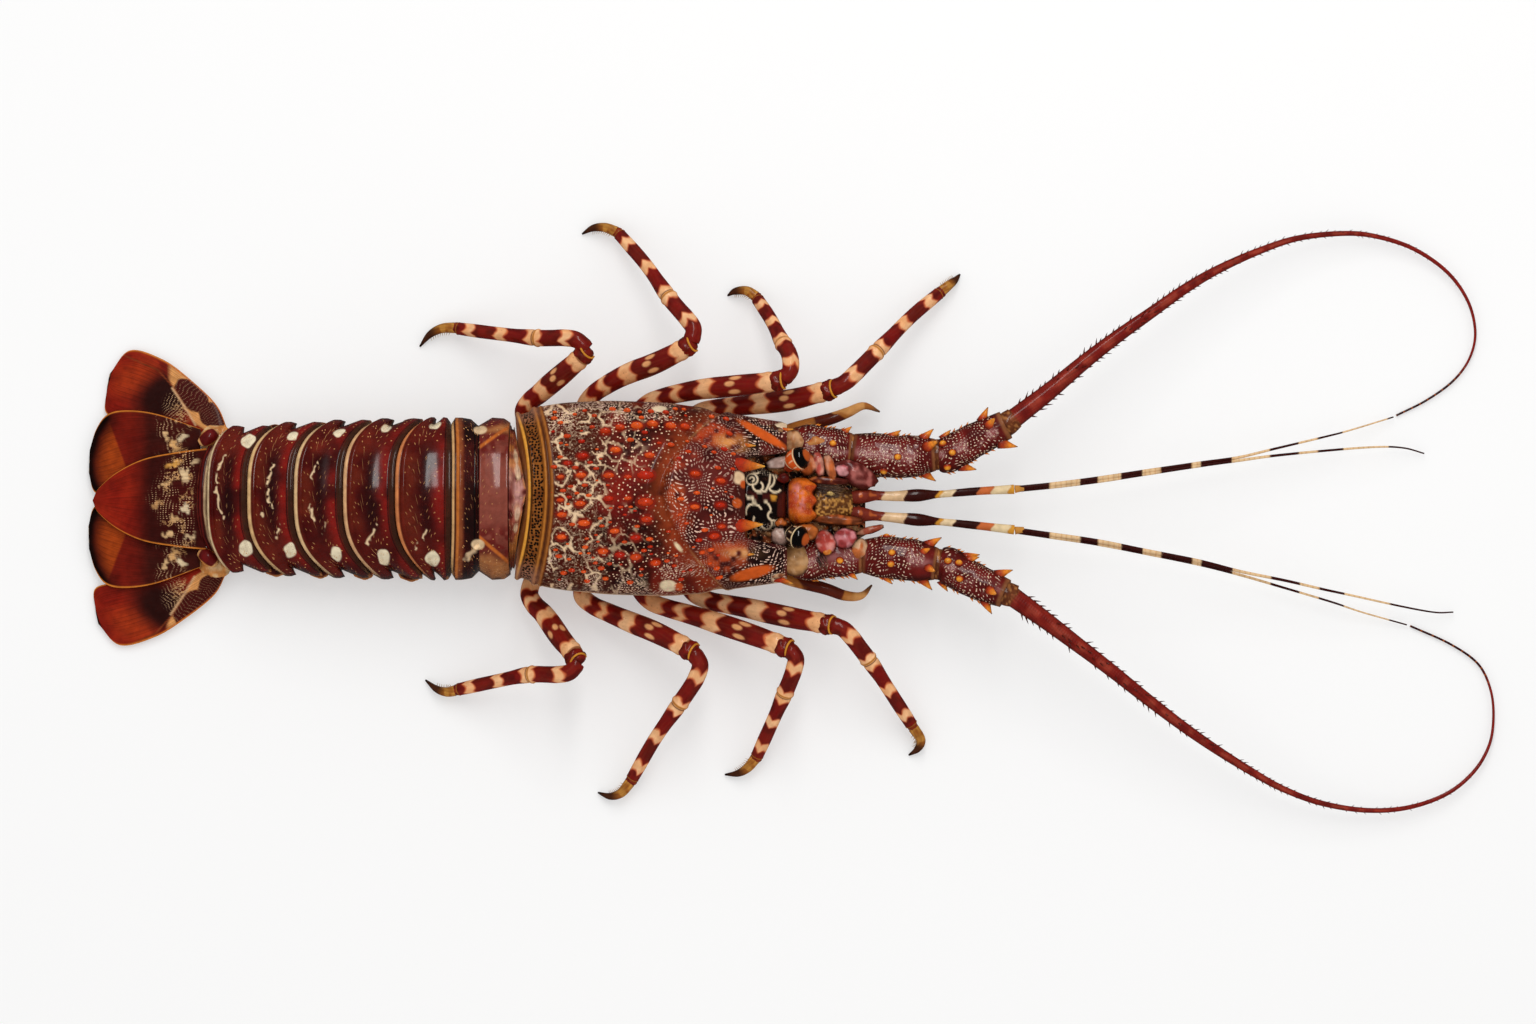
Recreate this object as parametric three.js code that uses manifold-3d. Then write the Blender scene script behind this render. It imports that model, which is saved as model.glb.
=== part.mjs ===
// A whole spiny lobster lying belly down with its tail fan spread.
// Millimetres. +X points to the head, +Y to the animal's left, +Z up.
// The origin is the middle of the flat belly plate, at the height it rests on.
import * as THREE from 'three';
import { mergeVertices } from 'three/addons/utils/BufferGeometryUtils.js';
import Module from 'manifold-3d';

const wasm = await Module();
wasm.setup();

// ---- Driving dimensions -------------------------------------------------

const GAP = 0.3;                      // clearance between neighbouring pieces
const SEGMENT_GAP = 0.5;              // clearance between two tail segments

const SHELL_REAR = -43.8;             // carapace, rear edge on the midline
const SHELL_GROOVE = 8.4;             // cervical groove on the midline
const SHELL_FRONT = 42.1;             // front edge between the eye horns
const SHELL_REAR_BOW = -5.8;          // how far the flanks reach behind the rear edge
const SHELL_GROOVE_BOW = 24;          // the groove runs forward by this at the flanks
const CHEEK_LENGTH = 16.6;            // the cheeks reach forward of the front edge by this
const SHELL_BOTTOM = 16;              // underside of the carapace
const SHELL_WIDEST = 27;              // height of the widest line
const SHELL_SIDES = 30;
const SHELL_ROUNDNESS = 2.2;          // 2 is an oval back, more is a squarer one
const HEAD_DRIFT = -2.4;              // the head turns slightly to the right

const ABDOMEN_EDGES = [-51.6, -74.1, -96.7, -117.4, -137.1, -155.9, -172.6];
const ABDOMEN_BOWS = [0, -1.5, 11, 11.5, 13, 13.4, 9.7];
const ABDOMEN_HALF_WIDTHS = [32.4, 32.6, 32.2, 31.7, 30.9, 29.5];
const ABDOMEN_TOPS = [48.5, 48.5, 47, 44.5, 41, 36, 25];
const BOW_POWER = 3.5;
const BOW_HALF_WIDTH = 31;            // the bows reach their full length this far out
const PLEURA_WIDEST = 13;             // height of the widest line of the tail segments
const BELLY_HEIGHT = 8;               // underside of the tail between the side lobes

const BELLY_LENGTH = 78;              // the flat plate between the legs
const BELLY_HALF_WIDTH = 18.5;
const BELLY_TAPER = 0.45;             // its front is narrower by this share
const BELLY_REAR_SHARE = 0.46;        // share of its length behind the origin
const BELLY_STEPS = 6;

const FAN_THICKNESS = 1.9;
const TELSON_THICKNESS = 2.6;
const RIGHT_OUTER_STRETCH = [1.08, 0.9];  // the right outer blade is longer and narrower
const RIGHT_FAN_SHIFT = 1.5;          // the other right pieces lie closer to the midline

const WAIST_RADIUS = 30.5;
const WAIST_AXIS_HEIGHT = 15;
const WAIST_RISE = 34;                // the waist reaches this far above its axis
const WAIST_DROP = 8;                 // and this far below it

const WHIP_BASE_RADIUS = 4;
const WHIP_TIP_RADIUS = 0.42;
const STALK_FLATNESS = 0.84;          // height of an antenna's stalk over its width

const COLOURS = {
  shell: 0x5a2114,
  tail: 0x4a1512,
  fan: 0x7a2313,
  seam: 0x9a5a2c,
  belly: 0xb98a62,
  head: 0x2a120d,
  plate: 0xb4511f,
  eye: 0x1c100c,
  antenna: 0x5a2018,
  whip: 0x7c2316,
  antennule: 0x8a5a34,
  leg: 0xb0643c,
  claw: 0x8a5a26,
};

// ---- Geometry helpers ---------------------------------------------------

const lobster = new THREE.Group();
lobster.name = 'spiny_lobster';

function addPart(name, colour, geometry) {
  const material = new THREE.MeshStandardMaterial({ color: colour, roughness: 0.35, metalness: 0 });
  const mesh = new THREE.Mesh(geometry, material);
  mesh.name = name;
  lobster.add(mesh);
}

function clamp01(value) {
  return THREE.MathUtils.clamp(value, 0, 1);
}

function blend(value, low, high) {
  return THREE.MathUtils.smoothstep(value, low, high);
}

// Straight-line interpolation in a list whose values are evenly spaced over 0 to 1.
function evenly(values, share) {
  const place = clamp01(share) * (values.length - 1);
  const index = Math.min(Math.floor(place), values.length - 2);
  return THREE.MathUtils.lerp(values[index], values[index + 1], place - index);
}

// The same in a list of [position, value] pairs.
function knots(pairs, position) {
  if (position <= pairs[0][0]) return pairs[0][1];
  const last = pairs[pairs.length - 1];
  if (position >= last[0]) return last[1];
  const index = pairs.findIndex((pair) => pair[0] > position);
  const [from, to] = [pairs[index - 1], pairs[index]];
  return THREE.MathUtils.mapLinear(position, from[0], to[0], from[1], to[1]);
}

function asSolid(geometry) {
  geometry.deleteAttribute('normal');
  geometry.deleteAttribute('uv');
  return mergeVertices(geometry, 1e-4);
}

// A closed skin over a row of sections. place(along, angle, reach) gives a point:
// along runs 0 to 1 down the row, angle is 0 at the top of a section and grows to
// the right of the direction of travel, reach is 1 on the skin and 0 on the axis.
function loft(sides, steps, place) {
  const geometry = new THREE.CylinderGeometry(1, 1, 1, sides, steps);
  const position = geometry.attributes.position;
  const vertex = new THREE.Vector3();
  for (let i = 0; i < position.count; i += 1) {
    vertex.fromBufferAttribute(position, i);
    const reach = Math.round(Math.hypot(vertex.x, vertex.z));
    const angle = Math.atan2(vertex.x, vertex.z);
    const point = place(vertex.y + 0.5, angle, reach);
    position.setXYZ(i, point.x, point.y, point.z);
  }
  return asSolid(geometry);
}

function pathThrough(points) {
  const places = points.map((point) => new THREE.Vector3(...point));
  return new THREE.CatmullRomCurve3(places, false, 'catmullrom', 0.5);
}

// The point on a tube's skin, for an oval section that stays upright.
function tubePoint(path, radii, flatness, along, angle, reach) {
  const centre = path.getPoint(along);
  const forward = path.getTangent(along);
  const right = new THREE.Vector3().crossVectors(forward, new THREE.Vector3(0, 0, 1)).normalize();
  const up = new THREE.Vector3().crossVectors(right, forward);
  const radius = evenly(radii, along) * reach;
  centre.addScaledVector(up, Math.cos(angle) * radius * flatness);
  return centre.addScaledVector(right, Math.sin(angle) * radius);
}

function tube({ points, radii, flatness = 1, sides = 8, steps = 6 }) {
  const path = pathThrough(points);
  return loft(sides, steps, (along, angle, reach) => (
    tubePoint(path, radii, flatness, along, angle, reach)
  ));
}

// A thin blade between its left and its right edge, thickest along the middle.
function blade({ left, right, thickness, steps = 9 }) {
  const leftEdge = pathThrough(left);
  const rightEdge = pathThrough(right);
  return loft(12, steps, (along, angle, reach) => {
    const onLeft = leftEdge.getPoint(along);
    const onRight = rightEdge.getPoint(along);
    const share = 0.5 + 0.5 * Math.sin(angle) * reach;
    const point = onRight.lerp(onLeft, share);
    const fall = THREE.MathUtils.lerp(1, 0.4, along);
    point.z += 0.5 * thickness * fall * Math.cos(angle) * reach;
    return point;
  });
}

// A low blunt knob, squashed to length, width and height, around a point.
function dome([x, y, z], length, width, height) {
  const geometry = asSolid(new THREE.CylinderGeometry(0.45, 1, 1, 5));
  geometry.rotateX(Math.PI / 2);
  geometry.scale(length / 2, width / 2, height);
  geometry.translate(x, y, z);
  return geometry;
}

// A pointed thorn from a root to a tip.
function thorn(root, tip, radius) {
  return tube({ points: [root, tip], radii: [radius, 0.12], sides: 4, steps: 1 });
}

function toManifold(geometry) {
  const vertProperties = new Float32Array(geometry.attributes.position.array);
  const triVerts = new Uint32Array(geometry.index.array);
  return new wasm.Manifold(new wasm.Mesh({ numProp: 3, vertProperties, triVerts }));
}

function fuse(geometries) {
  const solid = geometries.map(toManifold).reduce((whole, piece) => whole.add(piece));
  const mesh = solid.getMesh();
  const geometry = new THREE.BufferGeometry();
  geometry.setAttribute('position', new THREE.BufferAttribute(mesh.vertProperties, mesh.numProp));
  geometry.setIndex(new THREE.BufferAttribute(mesh.triVerts, 1));
  return geometry;
}

// Mirrors a list of points to the animal's right side.
function mirrored(points) {
  return points.map(([x, y, z]) => [x, -y, z]);
}

// Lifts a route drawn in plan to heights that are spread evenly along it.
function lifted(route, heights) {
  return route.map(([x, y], index) => [x, y, evenly(heights, index / (route.length - 1))]);
}

// ---- Carapace -----------------------------------------------------------

const SHELL_HALF_WIDTHS = [
  [-50, 31.8], [-42, 35.3], [-31, 37.4], [-12, 38.7], [12, 38.6], [32, 35.8], [59, 31.7],
];
const SHELL_TOPS = [
  [-50, 47], [-44, 50], [-36, 52], [-20, 58], [0, 61.5], [15, 62], [30, 56], [42, 48.5], [59, 42],
];

// Stations from the rear edge to the groove and on to the front, with the relief
// of the two rear ridges and of the groove, in millimetres.
const SHELL_STATIONS = [
  [0, 0], [0.03, 0.7], [0.08, -0.7], [0.14, 0.6], [0.18, -0.3], [0.32, 0], [0.5, 0], [0.68, 0],
  [0.84, 0.2], [0.93, 0.3], [1, -2.2], [1.1, 0.2], [1.3, 0.3], [1.55, 0], [1.8, 0], [2, -0.6],
];
const CHEEK_RINGS = [0.62, 0.46];     // rings on the front face, as shares of the section

// The underside from the widest line to the midline, as shares of width and of depth.
const SHELL_UNDER_WIDTHS = [1, 0.93, 0.84, 0.55, 0.28, 0];
const SHELL_UNDER_DROPS = [0, 0.6, 1, 1, 1, 1];

function midline(x) {
  return HEAD_DRIFT * blend(x, -50, 60);
}

function shellTop(x, y) {
  const halfWidth = knots(SHELL_HALF_WIDTHS, x);
  const share = clamp01(Math.abs(y - midline(x)) / halfWidth);
  const rise = (1 - share ** SHELL_ROUNDNESS) ** (1 / SHELL_ROUNDNESS);
  return SHELL_WIDEST + (knots(SHELL_TOPS, x) - SHELL_WIDEST) * rise;
}

function frontFace(share) {
  return SHELL_FRONT + CHEEK_LENGTH * blend(share, 0.46, 0.62);
}

function shellX(station, share) {
  const rear = SHELL_REAR + SHELL_REAR_BOW * share ** 2;
  const groove = SHELL_GROOVE + SHELL_GROOVE_BOW * share ** 1.6;
  if (station <= 1) return THREE.MathUtils.lerp(rear, groove, station);
  return THREE.MathUtils.lerp(groove, frontFace(share), station - 1);
}

function shellSection(station, angle, reach, relief) {
  const turn = Math.abs(angle) / (Math.PI / 2);
  const side = -Math.sign(angle);
  const under = clamp01(turn - 1);
  const across = turn <= 1
    ? Math.sin(Math.abs(angle)) ** 0.95
    : evenly(SHELL_UNDER_WIDTHS, under);
  const share = across * reach;
  const x = shellX(station, share);
  const halfWidth = knots(SHELL_HALF_WIDTHS, x);
  const top = knots(SHELL_TOPS, x) + relief;
  const rise = Math.max(Math.cos(angle), 0) ** 0.95;
  let z = SHELL_WIDEST + (top - SHELL_WIDEST) * rise * reach;
  if (turn > 1) z -= (SHELL_WIDEST - SHELL_BOTTOM) * evenly(SHELL_UNDER_DROPS, under) * reach;
  const wide = halfWidth + relief * (turn <= 1 ? 1 : 0.3);
  return new THREE.Vector3(x, midline(x) + side * wide * share, z);
}

function carapaceBody() {
  const rings = CHEEK_RINGS.length;
  const steps = SHELL_STATIONS.length - 1 + rings;
  return loft(SHELL_SIDES, steps, (along, angle, reach) => {
    const index = Math.round(along * steps);
    const [station, relief] = SHELL_STATIONS[Math.min(index, steps - rings)];
    const ring = index > steps - rings ? CHEEK_RINGS[index - (steps - rings) - 1] : 1;
    return shellSection(station, angle, ring * reach, relief);
  });
}

// The red knobs on the back: [x, y, length].
const KNOBS = [
  [-30.8, 5.3, 3], [-22.6, 5.6, 4.4], [-11.6, 5.3, 4.6], [-4.1, 4.6, 3.4], [2.9, 5.2, 7],
  [22.6, 6, 4.4], [32.6, 3.6, 4.2], [-28, 10.6, 3.4], [-22, 13.4, 4.4], [-9, 15.6, 4.4],
  [4.5, 13.2, 4.4], [-13.2, 23.5, 4.2], [-7.3, 25, 4], [-0.6, 25.6, 5], [5.5, 26.4, 4.4],
  [12.8, 25.6, 4.4], [18.4, 25.4, 4], [-30.8, -4, 3.2], [-22.9, -5.6, 4.4], [-11.6, -3.9, 4.2],
  [-4.1, -3.9, 3.2], [2.9, -5.4, 6.6], [22.4, -7.1, 4], [32.4, -6, 4.2], [-30.2, -9.8, 4.2],
  [-21.4, -13.3, 5], [3.4, -12.2, 4.6], [-30.4, -18.4, 4.2], [-9.3, -16.6, 4], [-1, -19.2, 4.4],
  [-14, -24.3, 4.4], [-7.3, -25.7, 4.2], [-1, -26.6, 4.6], [6.8, -28.8, 4.4], [30, -18.2, 4.6],
  [33, -14.4, 3.6],
];
const KNOB_HEIGHT = 2.2;
const KNOB_NARROWNESS = 0.62;         // width of a knob over its length
const KNOB_LIFT = 0.1;                // a knob's middle stands this far off the shell

function knob([x, y, length]) {
  const centre = [x, y, shellTop(x, y) + KNOB_LIFT];
  return dome(centre, length, length * KNOB_NARROWNESS, KNOB_HEIGHT);
}

// Horns over the eyes and the thorns behind them: root, tip, root radius.
const SHELL_THORNS = [
  [[36.5, 11, 45.5], [50.2, 9.2, 53], 3.1],
  [[36, -13.4, 45.5], [49.4, -13.8, 53], 3.1],
  [[38, 19, 40], [46.5, 18.6, 45.5], 2.2],
  [[37, -24.5, 38], [46, -24.6, 44], 2.2],
  [[54, 25.5, 31], [61.4, 26, 34.5], 2.4],
  [[54, -32.6, 29], [61.2, -35.6, 33.5], 2.4],
];

function carapace() {
  const thorns = SHELL_THORNS.map(([root, tip, radius]) => thorn(root, tip, radius));
  return fuse([carapaceBody(), ...KNOBS.map(knob), ...thorns]);
}

addPart('carapace', COLOURS.shell, carapace());

// ---- Belly plate --------------------------------------------------------

// Half of the section, from the top of the midline to the bottom: [share of width, height].
const BELLY_SECTION = [[0, 15.7], [0.6, 15.7], [1, 14.2], [1, 8], [0.72, 0], [0.36, 0], [0, 0]];
const BELLY_MIDDLE = 7.5;             // height of the section's middle

function belly() {
  const sides = 2 * (BELLY_SECTION.length - 1);
  return loft(sides, BELLY_STEPS, (along, angle, reach) => {
    const index = Math.round(Math.abs(angle) / (2 * Math.PI / sides));
    const [share, height] = BELLY_SECTION[index];
    const halfWidth = BELLY_HALF_WIDTH * (1 - BELLY_TAPER * along ** 2);
    const x = (along - BELLY_REAR_SHARE) * BELLY_LENGTH;
    const y = -Math.sign(angle) * halfWidth * share * reach;
    return new THREE.Vector3(x, y, BELLY_MIDDLE + (height - BELLY_MIDDLE) * reach);
  });
}

addPart('belly_plate', COLOURS.belly, belly());

// ---- Tail segments ------------------------------------------------------

// Stations from a segment's rear edge to its front, with the relief of its back,
// the notch between its two side lobes and the height of the lobes' lower edge.
const SEGMENT_STATIONS = [
  { at: 0, relief: 0.3, notch: 0.08, hem: 4 },
  { at: 0.08, relief: 0.8, notch: 0, hem: 1.4 },
  { at: 0.18, relief: -0.5, notch: 0, hem: 0.6 },
  { at: 0.34, relief: 0.6, notch: 0.02, hem: 2.5 },
  { at: 0.46, relief: 1, notch: 0.11, hem: 8 },
  { at: 0.7, relief: 0.7, notch: 0, hem: 2.5 },
  { at: 0.9, relief: -0.2, notch: 0.01, hem: 2.2 },
  { at: 1, relief: -1, notch: 0.06, hem: 6 },
];

// The underside from the widest line to the midline: shares of the width, and heights,
// where the second height is the hem of the side lobes.
const SEGMENT_UNDER_WIDTHS = [1, 0.97, 0.87, 0.6, 0.3, 0];
const segmentUnderHeights = (hem) => [PLEURA_WIDEST, hem, 6, 7.5, BELLY_HEIGHT];

function segment(index) {
  const [front, rear] = [ABDOMEN_EDGES[index], ABDOMEN_EDGES[index + 1]];
  const [frontBow, rearBow] = [ABDOMEN_BOWS[index], ABDOMEN_BOWS[index + 1]];
  const [frontTop, rearTop] = [ABDOMEN_TOPS[index], ABDOMEN_TOPS[index + 1]];
  const steps = SEGMENT_STATIONS.length - 1;
  return loft(18, steps, (along, angle, reach) => {
    const { at, relief, notch, hem } = SEGMENT_STATIONS[Math.round(along * steps)];
    const turn = Math.abs(angle) / (Math.PI / 2);
    const under = clamp01(turn - 1);
    const across = turn <= 1 ? Math.sin(Math.abs(angle)) : evenly(SEGMENT_UNDER_WIDTHS, under);
    const share = across * reach;
    const halfWidth = ABDOMEN_HALF_WIDTHS[index] * (1 - notch * share ** 4);
    const bow = (halfWidth * share / BOW_HALF_WIDTH) ** BOW_POWER;
    const rearX = rear + rearBow * bow + SEGMENT_GAP / 2;
    const frontX = front + frontBow * bow - SEGMENT_GAP / 2;
    const top = THREE.MathUtils.lerp(rearTop, frontTop, at) + relief;
    const lift = turn <= 1
      ? (top - PLEURA_WIDEST) * Math.max(Math.cos(angle), 0) ** 0.8
      : evenly(segmentUnderHeights(hem), under) - PLEURA_WIDEST;
    const x = THREE.MathUtils.lerp(rearX, frontX, at);
    const y = -Math.sign(angle) * halfWidth * share;
    return new THREE.Vector3(x, y, PLEURA_WIDEST + lift * reach);
  });
}

for (let index = 0; index < ABDOMEN_HALF_WIDTHS.length; index += 1) {
  addPart(`tail_segment_${index + 1}`, COLOURS.tail, segment(index));
}

// The soft waist between the carapace and the first tail segment, pinched in its middle.
const WAIST_FULLNESS = [0.95, 0.9, 0.93];

function waist() {
  return loft(18, 2, (along, angle, reach) => {
    const share = Math.abs(Math.sin(angle)) * reach;
    const rearX = ABDOMEN_EDGES[0] + GAP / 2;
    const frontX = SHELL_REAR + SHELL_REAR_BOW * share - 2 * GAP;
    const fullness = evenly(WAIST_FULLNESS, along) * reach;
    const height = Math.cos(angle) >= 0 ? WAIST_RISE : WAIST_DROP;
    const x = THREE.MathUtils.lerp(rearX, frontX, along);
    const y = -Math.sin(angle) * WAIST_RADIUS * fullness;
    return new THREE.Vector3(x, y, WAIST_AXIS_HEIGHT + Math.cos(angle) * height * fullness);
  });
}

addPart('waist', COLOURS.seam, waist());

// ---- Tail fan -----------------------------------------------------------

const TELSON_EDGE = [
  [-173.4, 20.4, 14], [-186, 18.9, 12], [-199, 16.4, 9.6],
  [-209.5, 11.4, 7.8], [-217, 5, 6.8], [-219.4, 0.3, 6.5],
];

// Edges of the left blades in plan, from the hinge to the free end, and their heights.
const OUTER_BLADE = {
  left: [[-165.6, 28.8], [-170.3, 38.9], [-181.6, 49.8], [-192.4, 57.5], [-205.3, 61], [-213.4, 51.5]],
  right: [[-175.4, 26.4], [-184, 29], [-195.6, 31.5], [-207.7, 33.2], [-214.8, 36], [-214.4, 46]],
  heights: [5.6, 4.8, 3.7, 2.9, 2.3, 2.1],
};
const INNER_BLADE = {
  left: [[-176.1, 28.6], [-193.8, 34.8], [-206.2, 36.5], [-213.9, 35], [-218.4, 29.1], [-221, 20.7]],
  right: [[-176.1, 19.8], [-193.8, 12.1], [-206.2, 5.4], [-213.9, 2.2], [-219.2, 4], [-221.3, 11.5]],
  heights: [9, 6.8, 5.2, 4.4, 3.9, 3.8],
};

function leftBlade({ left, right, heights }) {
  return { left: lifted(left, heights), right: lifted(right, heights) };
}

// A right blade is the left one mirrored, stretched from its hinge and shifted inwards.
function rightBlade(shape, [stretchX, stretchY], shift) {
  const { left, right } = leftBlade(shape);
  const [hingeX, hingeY] = left[0];
  const move = (points) => mirrored(points).map(([x, y, z]) => [
    hingeX + (x - hingeX) * stretchX,
    -hingeY + (y + hingeY) * stretchY + shift,
    z,
  ]);
  return { left: move(right), right: move(left) };
}

const BLADES = {
  outer_blade_left: leftBlade(OUTER_BLADE),
  inner_blade_left: leftBlade(INNER_BLADE),
  outer_blade_right: rightBlade(OUTER_BLADE, RIGHT_OUTER_STRETCH, 0),
  inner_blade_right: rightBlade(INNER_BLADE, [1, 1], RIGHT_FAN_SHIFT),
};

addPart('telson', COLOURS.fan, blade({
  left: TELSON_EDGE,
  right: mirrored(TELSON_EDGE),
  thickness: TELSON_THICKNESS,
}));
for (const [name, edges] of Object.entries(BLADES)) {
  addPart(name, COLOURS.fan, blade({ ...edges, thickness: FAN_THICKNESS }));
}

// The knuckle that carries the two blades of a side.
const KNUCKLE = [[-176.2, 22.6, 11.6], [-172.8, 24.6, 12.4], [-169.4, 27.6, 11]];
const KNUCKLE_RADII = [1.6, 3, 3.1, 1.4];
const RIGHT_KNUCKLE = mirrored(KNUCKLE).map(([x, y, z]) => [x, y + RIGHT_FAN_SHIFT, z]);

for (const [name, points] of [['left', KNUCKLE], ['right', RIGHT_KNUCKLE]]) {
  addPart(`fan_knuckle_${name}`, COLOURS.seam, tube({ points, radii: KNUCKLE_RADII, steps: 5 }));
}

// ---- Head ---------------------------------------------------------------

// A rounded block along X: half-widths and tops from its rear to its front.
function block({ from, to, middle, halfWidths, tops, bottom, power = 0.7, sides = 12, steps = 4 }) {
  return loft(sides, steps, (along, angle, reach) => {
    const width = evenly(halfWidths, along);
    const half = (evenly(tops, along) - bottom) / 2;
    const across = -Math.sign(Math.sin(angle)) * Math.abs(Math.sin(angle)) ** power;
    const rise = Math.sign(Math.cos(angle)) * Math.abs(Math.cos(angle)) ** power;
    const x = THREE.MathUtils.lerp(from, to, along);
    return new THREE.Vector3(x, middle + width * across * reach, bottom + half + half * rise * reach);
  });
}

const HEAD_BOTTOM = 20;
const HEAD_PLATES = {
  brow: {
    from: 43.2, to: 58.4, middle: -2.4, halfWidths: [9, 12, 12.4, 11, 9], tops: [45, 44.5, 42, 39.5, 37],
  },
  nose_plate: {
    from: 58.8, to: 69.6, middle: -2.5, halfWidths: [6.4, 8.4, 8.6, 8, 6.4], tops: [37, 39, 39.2, 38, 35.5],
  },
  bristle_plate: {
    from: 70, to: 83, middle: -3.2, halfWidths: [7.2, 7.4, 7, 6.4, 5.4], tops: [34, 33.6, 33, 31.6, 30],
  },
};
const HEAD_COLOURS = { brow: COLOURS.head, nose_plate: COLOURS.plate, bristle_plate: COLOURS.seam };

for (const [name, shape] of Object.entries(HEAD_PLATES)) {
  addPart(name, HEAD_COLOURS[name], block({ ...shape, bottom: HEAD_BOTTOM }));
}

// An eye on its short stalk, from the root under the horn to the dark tip.
const EYE_RADII = [2.2, 3, 4.3, 4.7, 3.9, 1.2];
const EYES = {
  left: [[58.8, 10.4, 35.6], [61, 12.6, 38], [64.4, 14.2, 39.8], [67.6, 15.4, 41]],
  right: [[58.8, -14.4, 35.6], [61, -16.2, 38], [64, -17.8, 39.8], [67.2, -19, 41]],
};

for (const [side, points] of Object.entries(EYES)) {
  addPart(`eye_${side}`, COLOURS.eye, tube({ points, radii: EYE_RADII, steps: 6 }));
}

// ---- Antennae -----------------------------------------------------------

// Each joint of an antenna's stalk is an oval tube with thorns. A thorn is
// [share of the length, angle from the top to the right in degrees, length].
const STALKS = {
  left: {
    base: {
      points: [[60.4, 22.4, 25], [72, 19.6, 26], [84.2, 18.4, 26]],
      radii: [5.5, 8.2, 8.3, 8.3, 7],
      thorns: [[0.86, 285, 4], [0.7, 350, 3]],
    },
    middle: {
      points: [[85, 18.3, 26], [101.6, 15.8, 27], [117.8, 16.4, 28]],
      radii: [7, 8.5, 8.5, 8.4, 6.6],
      thorns: [
        [0.42, 278, 6], [0.86, 284, 7], [0.9, 335, 8], [0.84, 95, 7], [0.3, 92, 3.5], [0.55, 5, 3],
        [0.4, 50, 3],
      ],
    },
    end: {
      points: [[118.8, 16.5, 28.1], [123.4, 17, 28.4], [133.2, 21.9, 30], [145.8, 28, 32]],
      radii: [6, 7.6, 7.2, 6.8, 6],
      thorns: [
        [0.22, 285, 5], [0.82, 278, 7], [0.86, 335, 6], [0.88, 84, 9], [0.4, 96, 8], [0.2, 330, 3],
        [0.4, 5, 3.4], [0.25, 45, 3],
      ],
    },
  },
  right: {
    base: {
      points: [[60.4, -27.4, 25], [74, -24.4, 26], [88.2, -23.8, 26]],
      radii: [5.5, 8.2, 8.3, 8.3, 7],
      thorns: [[0.84, 80, 4], [0.7, 15, 3]],
    },
    middle: {
      points: [[89.4, -23.9, 26], [103.6, -25, 27], [118.2, -27.2, 28]],
      radii: [7, 8.4, 8.4, 8.3, 6.6],
      thorns: [
        [0.84, 278, 8], [0.3, 284, 3.5], [0.3, 90, 5], [0.84, 94, 7], [0.9, 22, 5], [0.4, 350, 3],
        [0.4, 20, 3.2], [0.8, 330, 4],
      ],
    },
    end: {
      points: [[119.2, -27.4, 28.1], [123.4, -28.4, 28.4], [133.2, -34, 30], [145.4, -39.3, 32]],
      radii: [6, 7.6, 7.3, 7, 6],
      thorns: [
        [0.45, 276, 7], [0.5, 292, 5], [0.86, 280, 8], [0.86, 15, 6], [0.84, 95, 7], [0.25, 95, 5],
        [0.3, 350, 3.2], [0.45, 340, 3], [0.55, 20, 3.4],
      ],
    },
  },
};
const THORN_SINK = 0.8;               // a thorn's root lies at this share of the radius

// A thorn that leans forward, out of the skin of a stalk.
function stalkThorn(path, radii, [along, degrees, length]) {
  const angle = THREE.MathUtils.degToRad(degrees);
  const root = tubePoint(path, radii, STALK_FLATNESS, along, angle, THORN_SINK);
  const outward = root.clone().sub(path.getPoint(along)).normalize();
  const tip = root.clone();
  tip.addScaledVector(outward, 1.4 + length * 0.35);
  tip.addScaledVector(path.getTangent(along), length * 0.85);
  return thorn(root.toArray(), tip.toArray(), 0.7 + length * 0.14);
}

function stalk({ points, radii, thorns }) {
  const path = pathThrough(points);
  const body = tube({ points, radii, flatness: STALK_FLATNESS, sides: 10, steps: 5 });
  return fuse([body, ...thorns.map((entry) => stalkThorn(path, radii, entry))]);
}

for (const [side, joints] of Object.entries(STALKS)) {
  for (const [joint, shape] of Object.entries(joints)) {
    addPart(`antenna_${joint}_${side}`, COLOURS.antenna, stalk(shape));
  }
}

// The long whips sweep out, fall to the surface and curl back to the middle.
const WHIPS = {
  left: [
    [147.3, 29.2], [162.9, 41.3], [178.1, 54.1], [191.1, 64.2], [204.4, 73.8], [217.6, 83.4], [230.6, 91.4],
    [247.1, 99.3], [263.6, 105.2], [282.1, 107.6], [295.5, 106.7], [310.6, 101.9], [324, 92.8],
    [332.4, 81.3], [335.5, 68.8], [333.3, 58.1], [326.7, 48.9], [315.9, 41], [303.6, 34.8],
  ],
  right: [
    [147.3, -39.8], [160.8, -49.5], [174, -59.4], [187.5, -69.6], [201.1, -80.3], [214.7, -90.5],
    [228.3, -99.8], [243, -108.8], [256.4, -115.9], [272.1, -121.5], [290.1, -124.2], [306.9, -123],
    [322.3, -117.6], [333.2, -108.9], [339.6, -98.4], [341.6, -87.3], [340.6, -75.7], [335.7, -65.3],
    [324.7, -57.3], [308.6, -49.9],
  ],
};
const WHIP_HEIGHTS = [32, 31, 29, 26, 22, 17.5, 12.5, 8.2, 5.4, 4, 3.1, 2.4, 1.9, 1.5, 1];
const WHIP_TAPER = [1, 0.74, 0.58, 0.44, 0.3, 0.24, 0.19, 0.14, 0.12, 0.1];

for (const [side, route] of Object.entries(WHIPS)) {
  const radii = WHIP_TAPER.map((share) => Math.max(WHIP_BASE_RADIUS * share, WHIP_TIP_RADIUS));
  const points = lifted(route, WHIP_HEIGHTS);
  addPart(`whip_${side}`, COLOURS.whip, tube({ points, radii, sides: 7, steps: 37 }));
}

// ---- Antennules ---------------------------------------------------------

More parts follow.
